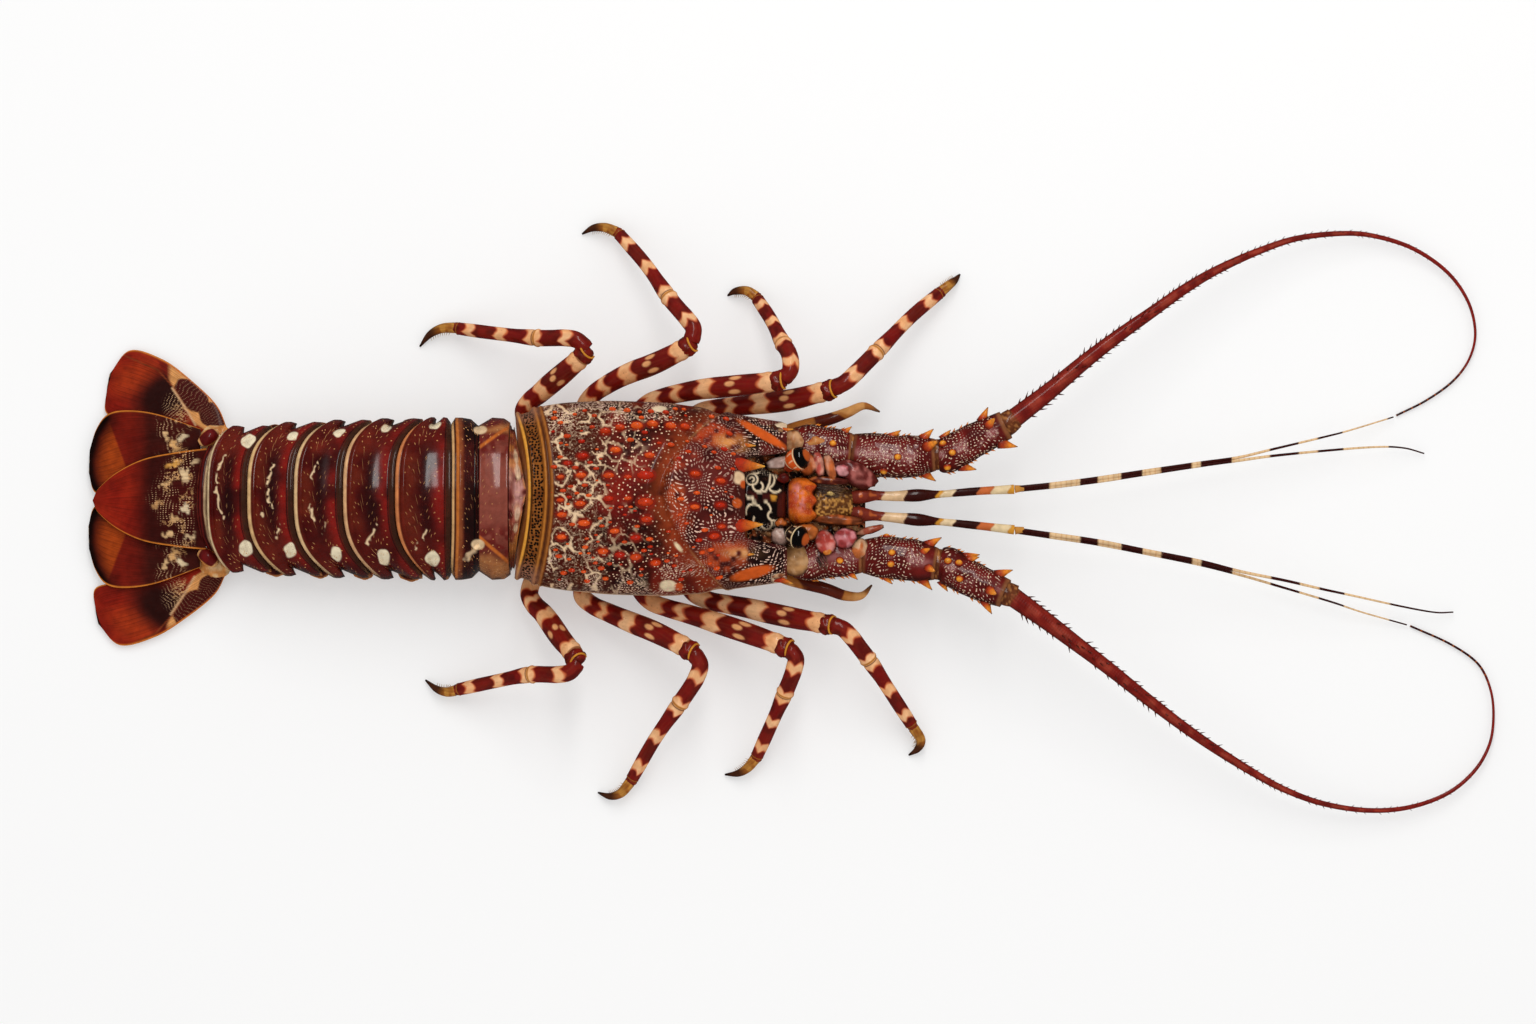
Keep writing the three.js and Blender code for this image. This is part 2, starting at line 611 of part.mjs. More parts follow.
// A stalk of three joints with swollen ends carries two fine branches.
const ANTENNULE_STALK_RADII = [2.4, 2.9, 2.7, 2, 1.9, 2.1, 2.5, 1.5, 1.5, 1.6, 1.6, 1.7, 1.9];
const BRANCH_RADII = [0.85, 0.8, 0.75, 0.66, 0.56, 0.46, 0.36, 0.3];
const STALK_HEIGHTS = [27, 27, 27, 27, 26, 25];
const UPPER_BRANCH_HEIGHTS = [25.2, 23.6, 21, 17.5, 13, 8, 2.3];
const LOWER_BRANCH_HEIGHTS = [24.4, 22.5, 20, 16.5, 12, 7, 2.3];
const ANTENNULES = {
  left: {
    stalk: [[84.2, -0.6], [92, 0.2], [102.4, 0], [120.2, 0.8], [135.3, 2.1], [149.2, 2.9]],
    upper: [
      [150.2, 3.4], [166.3, 5.2], [183.5, 7.6], [201.5, 10.5], [223.5, 14], [239.2, 16.5],
      [253.7, 20.2], [273.9, 25.3], [284.4, 28.3], [302.4, 34.1],
    ],
    lower: [
      [150.2, 2.6], [166.4, 4.3], [183.5, 6.5], [201.5, 9.4], [223.5, 12.9], [239.2, 15.2],
      [254.6, 17.5], [279.1, 20.1], [296.4, 21.5], [306.5, 21.3], [314.6, 19.4],
    ],
  },
  right: {
    stalk: [[84.2, -6.8], [91.4, -7.6], [102.4, -8.7], [120.2, -10.3], [135.3, -11.8], [149.2, -13.3]],
    upper: [
      [150.2, -13.2], [163.6, -15], [182.3, -17.6], [201.5, -21.3], [223.1, -25.4], [240, -29.5],
      [257.7, -32.9], [273, -36.2], [284.8, -38.5], [304.9, -42.7], [318.2, -44.8], [325.8, -44.5],
    ],
    lower: [
      [150.2, -14], [163.6, -15.9], [182.3, -18.6], [201.5, -22.2], [223.1, -26.5], [240, -30.6],
      [256.6, -35.2], [276.7, -40.9], [288.9, -44.7], [307.2, -49.6],
    ],
  },
};

// Two branches that leave the stalk together, out of one short collar.
function branchPair(upper, lower) {
  const [x, y, z] = upper[0];
  const collarEnds = [[x - 0.6, y - 0.4, z - 0.4], [x + 3, y, z - 0.5]];
  const collar = tube({ points: collarEnds, radii: [1.6, 1.1], steps: 1 });
  const strand = (points) => tube({ points, radii: BRANCH_RADII, sides: 5, steps: 16 });
  return fuse([collar, strand(upper), strand(lower)]);
}

for (const [side, { stalk: route, upper, lower }] of Object.entries(ANTENNULES)) {
  const points = lifted(route, STALK_HEIGHTS);
  const branches = branchPair(lifted(upper, UPPER_BRANCH_HEIGHTS), lifted(lower, LOWER_BRANCH_HEIGHTS));
  addPart(`antennule_${side}`, COLOURS.antennule, tube({ points, radii: ANTENNULE_STALK_RADII, steps: 12 }));
  addPart(`antennule_branches_${side}`, COLOURS.antennule, branches);
}

// ---- Legs ---------------------------------------------------------------

// Thigh, shin and claw of each walking leg in plan, front pair first.
const LEGS = {
  leg_left_1: {
    thigh: [[13, 19.4], [18, 29.5], [25.3, 35.7], [42, 37.6], [59.9, 39.3], [75.2, 42.4]],
    shin: [[76.8, 43], [82.1, 45.6], [87.7, 51], [97.3, 61.3], [108.6, 73.5], [119.7, 83.5]],
    claw: [[120.9, 84.6], [123.9, 87.1], [126.3, 89.2], [128.4, 91.9]],
  },
  leg_left_2: {
    thigh: [[-1, 20.6], [-2.4, 31], [3.5, 39], [20.2, 43.1], [38.1, 44.4], [54.8, 45.6]],
    shin: [[57, 46.2], [60, 49.8], [59.8, 56], [56.6, 62.6], [52.4, 72], [47.2, 81]],
    claw: [[46.4, 82.4], [42.6, 84.8], [38, 84.8], [35, 83.3]],
  },
  leg_left_3: {
    thigh: [[-16, 20.6], [-22, 31], [-20.6, 40.5], [-7.7, 48.7], [6.3, 53.5], [19, 59.2]],
    shin: [[20.6, 61], [21.8, 65], [19.6, 69.8], [11.9, 79.6], [2.2, 94.3], [-8.4, 107.4]],
    claw: [[-9.8, 108.6], [-14.3, 110.4], [-19.1, 110.4], [-23.6, 108.3]],
  },
  leg_left_4: {
    thigh: [[-31.8, 22.6], [-42.5, 27.5], [-46.6, 36], [-39.1, 43], [-30.8, 49.2], [-22.8, 55.4]],
    shin: [[-20.8, 58.2], [-23.9, 61.4], [-29.2, 63], [-40.5, 63.7], [-56.7, 66.4], [-73, 69.4]],
    claw: [[-74.6, 69.8], [-79.8, 69.6], [-84.7, 67.3], [-88.8, 62.7]],
  },
  leg_right_1: {
    thigh: [[13, -19.4], [17, -30.5], [24.1, -39.2], [42, -43.5], [59.9, -47.8], [74.6, -51]],
    shin: [[76.4, -51.3], [81.6, -53.4], [86, -58.2], [93.8, -68.2], [101.6, -79.6], [108.4, -89.6]],
    claw: [[109.4, -91.2], [112.3, -95.9], [111.1, -99.4], [107.6, -101.8]],
  },
  leg_right_2: {
    thigh: [[-1, -20.6], [-1, -32], [4.2, -40.8], [24.1, -47.7], [42.1, -54.2], [57.6, -60.2]],
    shin: [[59.3, -61.2], [62.2, -65], [61, -71], [57.4, -79.6], [52.4, -90.5], [46.9, -102.2]],
    claw: [[46, -103.6], [43, -107.1], [39.2, -109.2], [34, -109.6]],
  },
  leg_right_3: {
    thigh: [[-16, -20.6], [-21.6, -31], [-22.1, -40], [-7.7, -47.8], [6.3, -54.1], [19.6, -61.2]],
    shin: [[21.4, -62.6], [24.2, -66.8], [22.6, -73], [16.3, -82.2], [6.2, -96], [-2.9, -111.2]],
    claw: [[-4, -113], [-7.5, -117.1], [-11.9, -118.4], [-16.8, -116.8]],
  },
  leg_right_4: {
    thigh: [[-31.8, -22], [-41, -29], [-44.1, -38.8], [-37.5, -47.3], [-31, -56.9], [-25.5, -63.6]],
    shin: [[-24.3, -66.6], [-26.6, -70.1], [-32.2, -71.4], [-43.5, -71], [-56.7, -72.9], [-72.3, -75.7]],
    claw: [[-73.9, -76.2], [-77.4, -76.7], [-81.5, -75.4], [-86, -71.7]],
  },
};

// The front pair reaches out low, the others arch up to a high knee.
const FRONT_LEG_HEIGHTS = { thigh: [8.5, 8.5, 11, 14, 19, 26], shin: [26.4, 27.2, 25, 19, 12, 6] };
const LEG_HEIGHTS = { thigh: [8.5, 8.4, 11, 16.6, 24.4, 31], shin: [31.8, 32.2, 30, 23.6, 14.4, 6] };
const CLAW_HEIGHTS = [5.5, 4.8, 3.2, 0.9];

const THIGH_RADII = [4.4, 3.8, 3.7, 4, 4.4, 4.3, 3.8];
const SHIN_RADII = [3.2, 3.5, 3.4, 3.4, 2.9, 2.8, 2.8, 2.6];
const CLAW_RADII = [2.2, 1.9, 1.4, 0.35];

for (const [name, { thigh, shin, claw }] of Object.entries(LEGS)) {
  const heights = name.endsWith('1') ? FRONT_LEG_HEIGHTS : LEG_HEIGHTS;
  const thighPoints = lifted(thigh, heights.thigh);
  const shinPoints = lifted(shin, heights.shin);
  const clawPoints = lifted(claw, CLAW_HEIGHTS);
  addPart(`${name}_thigh`, COLOURS.leg, tube({ points: thighPoints, radii: THIGH_RADII, steps: 8 }));
  addPart(`${name}_shin`, COLOURS.leg, tube({ points: shinPoints, radii: SHIN_RADII, steps: 8 }));
  addPart(`${name}_claw`, COLOURS.claw, tube({ points: clawPoints, radii: CLAW_RADII, sides: 6, steps: 4 }));
}

// The short feeding legs beside the mouth.
const SHORT_LEGS = {
  left: [[42, 14.5], [51, 22.4], [60, 27.6], [75.9, 31.9], [83, 34.6], [89.6, 37.6], [95.9, 35.8]],
  right: [[42, -16.5], [50, -26], [58, -31.4], [73.9, -36.1], [81.9, -38.8], [88.4, -38.6], [92.7, -34.1]],
};
const SHORT_LEG_HEIGHTS = [9.5, 11.5, 13.6, 16, 15.2, 12, 7];
const SHORT_LEG_RADII = [2.8, 2.8, 2.7, 2.4, 2.1, 1.5, 0.4];

for (const [side, route] of Object.entries(SHORT_LEGS)) {
  const points = lifted(route, SHORT_LEG_HEIGHTS);
  addPart(`short_leg_${side}`, COLOURS.leg, tube({ points, radii: SHORT_LEG_RADII, sides: 7, steps: 10 }));
}

export default lobster;
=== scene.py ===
# A spiny lobster lying belly down: its shells, legs, antennae and their finishes.
import math
import bpy
import numpy as np
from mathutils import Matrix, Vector


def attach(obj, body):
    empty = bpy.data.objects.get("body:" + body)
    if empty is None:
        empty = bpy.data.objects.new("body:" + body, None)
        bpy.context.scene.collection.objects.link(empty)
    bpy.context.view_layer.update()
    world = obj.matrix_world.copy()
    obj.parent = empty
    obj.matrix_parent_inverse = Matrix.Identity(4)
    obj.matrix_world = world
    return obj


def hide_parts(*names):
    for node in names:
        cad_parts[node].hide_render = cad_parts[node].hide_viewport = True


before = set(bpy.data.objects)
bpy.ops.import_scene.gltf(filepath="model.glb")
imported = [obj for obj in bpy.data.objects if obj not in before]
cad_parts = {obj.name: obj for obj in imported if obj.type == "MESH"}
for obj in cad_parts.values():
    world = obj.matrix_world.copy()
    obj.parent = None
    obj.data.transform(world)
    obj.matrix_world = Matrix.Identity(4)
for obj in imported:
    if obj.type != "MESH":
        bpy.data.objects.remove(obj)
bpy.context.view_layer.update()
millimetre = 0.001  # every size below is in millimetres
print("frame loaded")

view = {  # the camera, at the photograph's viewing angle
    "middle": (51.2, -4.0),   # the point of the floor in the middle of the picture
    "distance": 3200,         # height of the camera over that floor
    "tilt": 5,                # degrees off straight down
    "perPixel": 0.4,          # millimetres of floor for each pixel of the picture
    "pictureWidth": 1536,
    "sensor": 36,
}


def placeCamera():
    camera = bpy.data.cameras.new("camera")
    camera.sensor_width = view["sensor"]
    camera.lens = view["sensor"] * view["distance"] / (view["perPixel"] * view["pictureWidth"])
    camera.clip_end = 20
    holder = bpy.data.objects.new("camera", camera)
    x, y = view["middle"]
    lean = math.radians(view["tilt"])
    back = view["distance"] * math.tan(lean)
    holder.location = [value * millimetre for value in (x, y - back, view["distance"])]
    holder.rotation_euler = (lean, 0, 0)
    bpy.context.scene.collection.objects.link(holder)
    bpy.context.scene.camera = holder


studio = {
    # name: place, width, depth, watts, warmth
    "window": ((60, 780, 1200), 220, 1200, 6.6, (1.0, 0.985, 0.965)),
    "fill": ((-350, -700, 1300), 1100, 900, 1.6, (1.0, 0.99, 0.98)),
    "edge": ((900, 300, 900), 500, 700, 1.0, (1.0, 0.98, 0.95)),
}
lampTarget = (0.02, 0, 0.02)  # in metres
sky = {"strength": 0.7, "inGloss": 0.05}  # the sky lights the scene, and shows only faintly in a gloss


def aimAt(place, target):
    return (Vector(target) - Vector(place)).to_track_quat("-Z", "Y").to_euler()


def placeLights():
    for name, (place, width, depth, watts, warmth) in studio.items():
        lamp = bpy.data.lights.new(name, "AREA")
        lamp.shape = "RECTANGLE"
        lamp.size, lamp.size_y = width * millimetre, depth * millimetre
        lamp.energy = watts
        lamp.color = warmth
        holder = bpy.data.objects.new(name, lamp)
        holder.location = [value * millimetre for value in place]
        holder.rotation_euler = aimAt(holder.location, lampTarget)
        holder.visible_glossy = name == "window"
        bpy.context.scene.collection.objects.link(holder)
    world = bpy.data.worlds.new("sky")
    world.use_nodes = True
    background = world.node_tree.nodes["Background"]
    background.inputs["Color"].default_value = (1, 1, 1, 1)
    sheet = Sheet(world.node_tree)
    inGloss = sheet.add("ShaderNodeLightPath", None, None, 3)
    strength = inGloss * (sky["inGloss"] - sky["strength"]) + sky["strength"]
    world.node_tree.links.new(strength.socket, background.inputs["Strength"])
    bpy.context.scene.world = world
    bpy.context.scene.view_settings.view_transform = "Standard"


def tone(code):
    # a web colour as linear light
    value = np.array([int(code[i:i + 2], 16) for i in (1, 3, 5)]) / 255
    return np.where(value <= 0.04045, value / 12.92, ((value + 0.055) / 1.055) ** 2.4)


def smooth(value, low, high):
    share = np.clip((value - low) / (high - low), 0, 1)
    return share * share * (3 - 2 * share)


def band(value, low, high, soft):
    return smooth(value, low - soft, low + soft) * (1 - smooth(value, high - soft, high + soft))


def hump(value, middle, width):
    return np.exp(-(((value - middle) / width) ** 2))


def evenly(values, share):
    return np.interp(share, np.linspace(0, 1, len(values)), values)


def knots(pairs, position):
    return np.interp(position, [pair[0] for pair in pairs], [pair[1] for pair in pairs])


def curve(points, share):
    # the smooth curve through evenly spaced points or values
    points = np.asarray(points, float)
    ends = 2 * points[0] - points[1], 2 * points[-1] - points[-2]
    padded = np.concatenate([[ends[0]], points, [ends[1]]])
    place = np.clip(share, 0, 1) * (len(points) - 1)
    index = np.minimum(place.astype(int), len(points) - 2)
    t = place - index
    if points.ndim > 1:
        t = t[..., None]
    a, b, c, d = (padded[index + k] for k in range(4))
    return 0.5 * (2 * b + (c - a) * t + (2 * a - 5 * b + 4 * c - d) * t ** 2
                  + (3 * b - a - 3 * c + d) * t ** 3)


def blotch(x, y, size, seed):
    # soft random values from 0 to 1, in patches of that size
    table = np.random.default_rng(seed).random((61, 61))
    u, v = np.broadcast_arrays(x / size + 500.0, y / size + 500.0)
    i, j = np.floor(u).astype(int), np.floor(v).astype(int)
    s, t = smooth(u - i, 0, 1), smooth(v - j, 0, 1)

    def corner(a, b):
        return table[(i + a) % 61, (j + b) % 61]

    near = corner(0, 0) * (1 - s) + corner(1, 0) * s
    far = corner(0, 1) * (1 - s) + corner(1, 1) * s
    return near * (1 - t) + far * t


def patches(x, y, size, seed, low, high):
    # blotches that come in between two of their values
    return smooth(blotch(x, y, size, seed), low, high)


def uneven(x, y, size, reach, seed):
    # the same places, shaken so that what is painted there gets a natural outline
    return x + reach * (blotch(x, y, size, seed) - 0.5), y + reach * (blotch(x, y, size, seed + 100) - 0.5)


def spot(x, y, middleX, middleY, radiusX, radiusY, turn=0, soft=0.3):
    # 1 inside an oval that is turned by some degrees
    cos, sin = math.cos(math.radians(turn)), math.sin(math.radians(turn))
    along = (x - middleX) * cos + (y - middleY) * sin
    across = (y - middleY) * cos - (x - middleX) * sin
    distance = (np.hypot(along / radiusX, across / radiusY) - 1) * min(radiusX, radiusY)
    return 1 - smooth(distance, -soft, soft)


def ring(x, y, middleX, middleY, radius, width, start=0, end=360, soft=0.25):
    # 1 on an arc from one angle to another, in degrees
    angle = np.degrees(np.arctan2(y - middleY, x - middleX)) % 360
    inside = ((angle - start) % 360) <= (end - start)
    distance = np.abs(np.hypot(x - middleX, y - middleY) - radius) - width / 2
    return (1 - smooth(distance, -soft, soft)) * inside


def stroke(x, y, points, width, soft=0.25):
    # 1 along a line through some points
    nearest = np.full(np.shape(x), 1e9)
    for (ax, ay), (bx, by) in zip(points, points[1:]):
        length = (bx - ax) ** 2 + (by - ay) ** 2
        t = np.clip(((x - ax) * (bx - ax) + (y - ay) * (by - ay)) / length, 0, 1)
        nearest = np.minimum(nearest, np.hypot(x - ax - t * (bx - ax), y - ay - t * (by - ay)))
    return 1 - smooth(nearest - width / 2, -soft, soft)


def cellLines(x, y, centres, width):
    # 1 halfway between the nearest two centres, so that each one gets a cell of its own
    distances = np.stack([np.hypot(x - a, y - b) for a, b in centres])
    nearest = np.partition(distances, 1, axis=0)[:2]
    return 1 - smooth(nearest[1] - nearest[0], width * 0.7, width * 1.5)


def coat(paint, code, mask):
    # lays a colour over a paint, which keeps it, as far as the mask goes
    paint += (tone(code) - paint) * mask[..., None]
    return paint


def plain(code, shape):
    return np.broadcast_to(tone(code), shape + (3,)).copy()


def grainOf(shape, layer, share):
    # a grain with one of its layers alone: 0 the network, 1 the dots, 2 the specks
    grain = np.zeros(shape + (3,))
    grain[..., layer] = share
    return grain


def unit(vector):
    return vector / np.linalg.norm(vector)


def squared(value, power):
    # a sine or cosine that makes a rounded block of a circle
    return np.sign(value) * np.abs(value) ** power


def meshFrom(name, points, faces, paint, grain, uv):
    mesh = bpy.data.meshes.new(name)
    mesh.vertices.add(len(points))
    mesh.vertices.foreach_set("co", (points * millimetre).astype(np.float32).ravel())
    quads, triangles = faces
    loops = np.concatenate([quads.ravel(), triangles.ravel()])
    starts = np.concatenate([np.arange(len(quads)) * 4, len(quads) * 4 + np.arange(len(triangles)) * 3])
    mesh.loops.add(len(loops))
    mesh.loops.foreach_set("vertex_index", loops.astype(np.int32))
    mesh.polygons.add(len(starts))
    mesh.polygons.foreach_set("loop_start", starts.astype(np.int32))
    mesh.update(calc_edges=True)
    mesh.polygons.foreach_set("use_smooth", np.ones(len(starts), bool))
    for title, values in (("paint", paint), ("grain", grain)):
        layer = mesh.attributes.new(title, "FLOAT_COLOR", "POINT")
        full = np.zeros((len(values), 4))
        full[:, 3] = title == "paint"
        full[:, :values.shape[1]] = values
        layer.data.foreach_set("color", full.astype(np.float32).ravel())
    layer = mesh.uv_layers.new(name="surface")
    layer.data.foreach_set("uv", uv.astype(np.float32).ravel())
    mesh.validate()
    thing = bpy.data.objects.new(name, mesh)
    bpy.context.scene.collection.objects.link(thing)
    return thing


def wayAround(points):
    # the way round each section, with the first place again at the end
    lap = np.concatenate([points, points[:, :1]], 1)
    steps = np.linalg.norm(np.diff(lap, axis=1), axis=2)
    return np.concatenate([np.zeros((len(points), 1)), np.cumsum(steps, 1)], 1)


def skin(name, points, paint, grain=None, uv=None):
    # a closed surface over rows of closed sections, with a pole at each end
    rows, columns = points.shape[:2]
    if grain is None:
        grain = np.zeros((rows, columns, 3))
    if uv is None:
        around = wayAround(points)
        middle = points.mean(1)
        along = np.concatenate([[0], np.cumsum(np.linalg.norm(np.diff(middle, axis=0), axis=1))])
        uv = np.stack([np.broadcast_to(along[:, None], around.shape), around], 2)
    row, column = np.meshgrid(np.arange(rows - 1), np.arange(columns), indexing="ij")
    after = (column + 1) % columns
    quads = np.stack([row * columns + column, row * columns + after,
                      (row + 1) * columns + after, (row + 1) * columns + column], 2).reshape(-1, 4)
    corners = np.stack([uv[row, column], uv[row, column + 1],
                        uv[row + 1, column + 1], uv[row + 1, column]], 2).reshape(-1, 2)
    start, end = rows * columns, rows * columns + 1
    index = np.arange(columns)
    last = (rows - 1) * columns
    triangles = np.concatenate([
        np.stack([np.full(columns, start), (index + 1) % columns, index], 1),
        np.stack([np.full(columns, end), last + index, last + (index + 1) % columns], 1)])
    poles = uv[0].mean(0), uv[-1].mean(0)
    corners = np.concatenate([
        corners,
        np.stack([np.broadcast_to(poles[0], (columns, 2)), uv[0, 1:], uv[0, :-1]], 1).reshape(-1, 2),
        np.stack([np.broadcast_to(poles[1], (columns, 2)), uv[-1, :-1], uv[-1, 1:]], 1).reshape(-1, 2)])

    def withPoles(field):
        flat = field.reshape(-1, field.shape[-1])
        return np.concatenate([flat, [field[0].mean(0)], [field[-1].mean(0)]])

    places = withPoles(points)
    a, b, c = (places[quads[:, k]] for k in range(3))
    if np.einsum("ij,ij->i", a, np.cross(b, c)).sum() < 0:
        quads, triangles = quads[:, ::-1], triangles[:, ::-1]
        first = corners[:len(quads) * 4].reshape(-1, 4, 2)[:, ::-1].reshape(-1, 2)
        rest = corners[len(quads) * 4:].reshape(-1, 3, 2)[:, ::-1].reshape(-1, 2)
        corners = np.concatenate([first, rest])
    return meshFrom(name, places, (quads, triangles), withPoles(paint), withPoles(grain), corners * 0.01)


class Path:
    # a smooth route with its right and up directions, for tubes that stay upright
    def __init__(self, points):
        self.points = np.asarray(points, float)

    def at(self, along):
        place = curve(self.points, along)
        step = 1e-4
        forward = curve(self.points, along + step) - curve(self.points, along - step)
        forward /= np.linalg.norm(forward, axis=-1, keepdims=True)
        right = np.cross(forward, (0, 0, 1))
        right /= np.linalg.norm(right, axis=-1, keepdims=True)
        return place, forward, right, np.cross(right, forward)


def tubePoints(points, radii, along, angle, flatness=1.0, relief=0.0):
    place, forward, right, up = Path(points).at(np.clip(along, 1e-4, 1 - 1e-4))
    radius = curve(radii, along)[..., None] + relief
    rise = (np.cos(angle) * flatness)[..., None]
    across = np.sin(angle)[..., None]
    return place + radius * (rise * up + across * right)


def gridOf(rows, columns, first=0, last=1):
    # shares along a piece, and angles around it from underneath and over the top
    around = np.linspace(-np.pi, np.pi, columns, endpoint=False)
    return np.meshgrid(np.linspace(first, last, rows), around, indexing="ij")


def sectionAngles(topColumns, underColumns):
    # angles around a shell, close together over its top
    top = np.linspace(-np.pi / 2, np.pi / 2, topColumns)
    under = np.linspace(np.pi / 2, 3 * np.pi / 2, underColumns + 2)[1:-1]
    half = len(under) // 2
    return np.concatenate([under[half:] - 2 * np.pi, top, under[:half]])


def hoop(middle, axis, radius, thickness, reach):
    # a rod bent round an axis, over its top and down to so many degrees on each side
    axis = np.asarray(axis, float) / np.linalg.norm(axis)
    side = np.cross(axis, (0, 0, 1))
    side /= np.linalg.norm(side)
    up = np.cross(side, axis)
    turn, around = gridOf(48, 10, -reach, reach)
    turn = np.radians(turn)[..., None]
    out = np.cos(turn) * up + np.sin(turn) * side
    outward = out * (radius + thickness * np.cos(around))[..., None]
    return middle + outward + axis * (thickness * np.sin(around))[..., None]


def lifted(route, heights):
    shares = np.linspace(0, 1, len(route))
    return [(x, y, float(evenly(heights, share))) for (x, y), share in zip(route, shares)]


def mirrored(points):
    return [(point[0], -point[1], *point[2:]) for point in points]


def pebble(middle, size, turn, paint, shade=None, rim="#3a140b", rimShare=0.5, seed=1):
    # one rounded lump: rows of points with their paint, darker or lined towards its rim; a dark rim colour
    # is painted shade that makes the lump look sunk in, a pale one is a real lined rim
    along, angle = gridOf(30, 36, 0.02, 0.98)
    sweep = (along - 0.5) * np.pi
    ringRadius = np.cos(sweep)
    x, y, z = np.sin(sweep), -np.sin(angle) * ringRadius, np.cos(angle) * ringRadius
    lump = 1 + 0.22 * (blotch(x * 2, y * 2 + z, 1, seed) - 0.5)
    lump = lump + 0.07 * (blotch(x * 7, y * 7 + z, 1, seed + 2) - 0.5)
    local = np.stack([x * size[0], y * size[1], z * size[2]], -1) * lump[..., None] / 2
    cos, sin = math.cos(math.radians(turn)), math.sin(math.radians(turn))
    x, y = local[..., 0] * cos - local[..., 1] * sin, local[..., 0] * sin + local[..., 1] * cos
    points = np.stack([x, y, local[..., 2]], -1) + middle
    colour = plain(paint, along.shape)
    if shade:
        coat(colour, shade, patches(points[..., 0], points[..., 1], 1.7, seed + 5, 0.4, 0.7))
    # the lower part in the rim colour: painted shade where that colour is dark
    coat(colour, rim, 0.85 * (1 - smooth(z, rimShare - 0.3, rimShare + 0.2)))
    return points, colour


def mergeSkins(name, pieces):
    things = [skin(f"{name}_{index}", points, colour) for index, (points, colour) in enumerate(pieces)]
    with bpy.context.temp_override(active_object=things[0], selected_editable_objects=things,
                                   selected_objects=things):
        bpy.ops.object.join()
    things[0].name = name
    return things[0]


class Wire:
    # a node's output, so that shader maths reads as plain expressions
    def __init__(self, sheet, socket):
        self.sheet, self.socket = sheet, socket

    def maths(self, operation, other, swapped=False):
        values = {0: other, 1: self} if swapped else {0: self, 1: other}
        return self.sheet.add("ShaderNodeMath", {"operation": operation}, values)

    def __add__(self, other):
        return self.maths("ADD", other)

    def __sub__(self, other):
        return self.maths("SUBTRACT", other)

    def __rsub__(self, other):
        return self.maths("SUBTRACT", other, True)

    def __mul__(self, other):
        return self.maths("MULTIPLY", other)

    __radd__, __rmul__ = __add__, __mul__

    def cosine(self):
        return self.sheet.add("ShaderNodeMath", {"operation": "COSINE"}, {0: self})


class Sheet:
    # a node tree with one method for every node
    def __init__(self, tree):
        self.tree = tree

    def add(self, kind, settings=None, values=None, output=0):
        node = self.tree.nodes.new(kind)
        for title, value in (settings or {}).items():
            if title == "stops":
                while len(node.color_ramp.elements) < len(value):
                    node.color_ramp.elements.new(0.5)
                for element, (position, colour) in zip(node.color_ramp.elements, value):
                    element.position = position
                    element.color = colour
            else:
                setattr(node, title, value)
        for title, value in (values or {}).items():
            socket = node.inputs[title]
            if isinstance(value, Wire):
                self.tree.links.new(value.socket, socket)
            else:
                socket.default_value = value
        return Wire(self, node.outputs[output]) if len(node.outputs) else None

    def mix(self, mask, first, second):
        values = {0: mask, 6: first, 7: second}
        return self.add("ShaderNodeMix", {"data_type": "RGBA"}, values, 2)

    def multiplied(self, first, second):
        values = {0: 1.0, 6: first, 7: second}
        return self.add("ShaderNodeMix", {"data_type": "RGBA", "blend_type": "MULTIPLY"}, values, 2)

    def ease(self, value, low, high, first=0.0, second=1.0):
        values = {0: value, 1: low, 2: high, 3: first, 4: second}
        return self.add("ShaderNodeMapRange", {"interpolation_type": "SMOOTHSTEP"}, values)

    def noise(self, place, scale, detail=2.0, output=0):
        values = {"Vector": place, "Scale": scale, "Detail": detail}
        return self.add("ShaderNodeTexNoise", None, values, output)

    def voronoi(self, place, scale, feature, randomness=1.0):
        settings = {"feature": feature, "voronoi_dimensions": "2D"}
        values = {"Vector": place, "Scale": scale, "Randomness": randomness}
        return self.add("ShaderNodeTexVoronoi", settings, values)

    def scaled(self, place, factor):
        return self.add("ShaderNodeVectorMath", {"operation": "SCALE"}, {0: place, "Scale": factor})

    def drifted(self, place, offset):
        return self.add("ShaderNodeVectorMath", {"operation": "ADD"}, {0: place, 1: offset})


def light(code):
    return (*[float(value) for value in tone(code)], 1.0)


def emptyMaterial(name):
    material = bpy.data.materials.new(name)
    material.use_nodes = True
    material.node_tree.nodes.clear()
    return material, Sheet(material.node_tree)


shellLooks = {  # what every shell has, unless its own finish says otherwise
    "rough": 0.34, "bump": 0.5, "bumpDepth": 0.25, "coat": 0.3, "coatRough": 0.09, "gloss": 0.12,
    "mottle": 0.35, "netBreaks": (0.4, 0.5), "swirlReach": 13.0, "streakBump": 0.8,
}


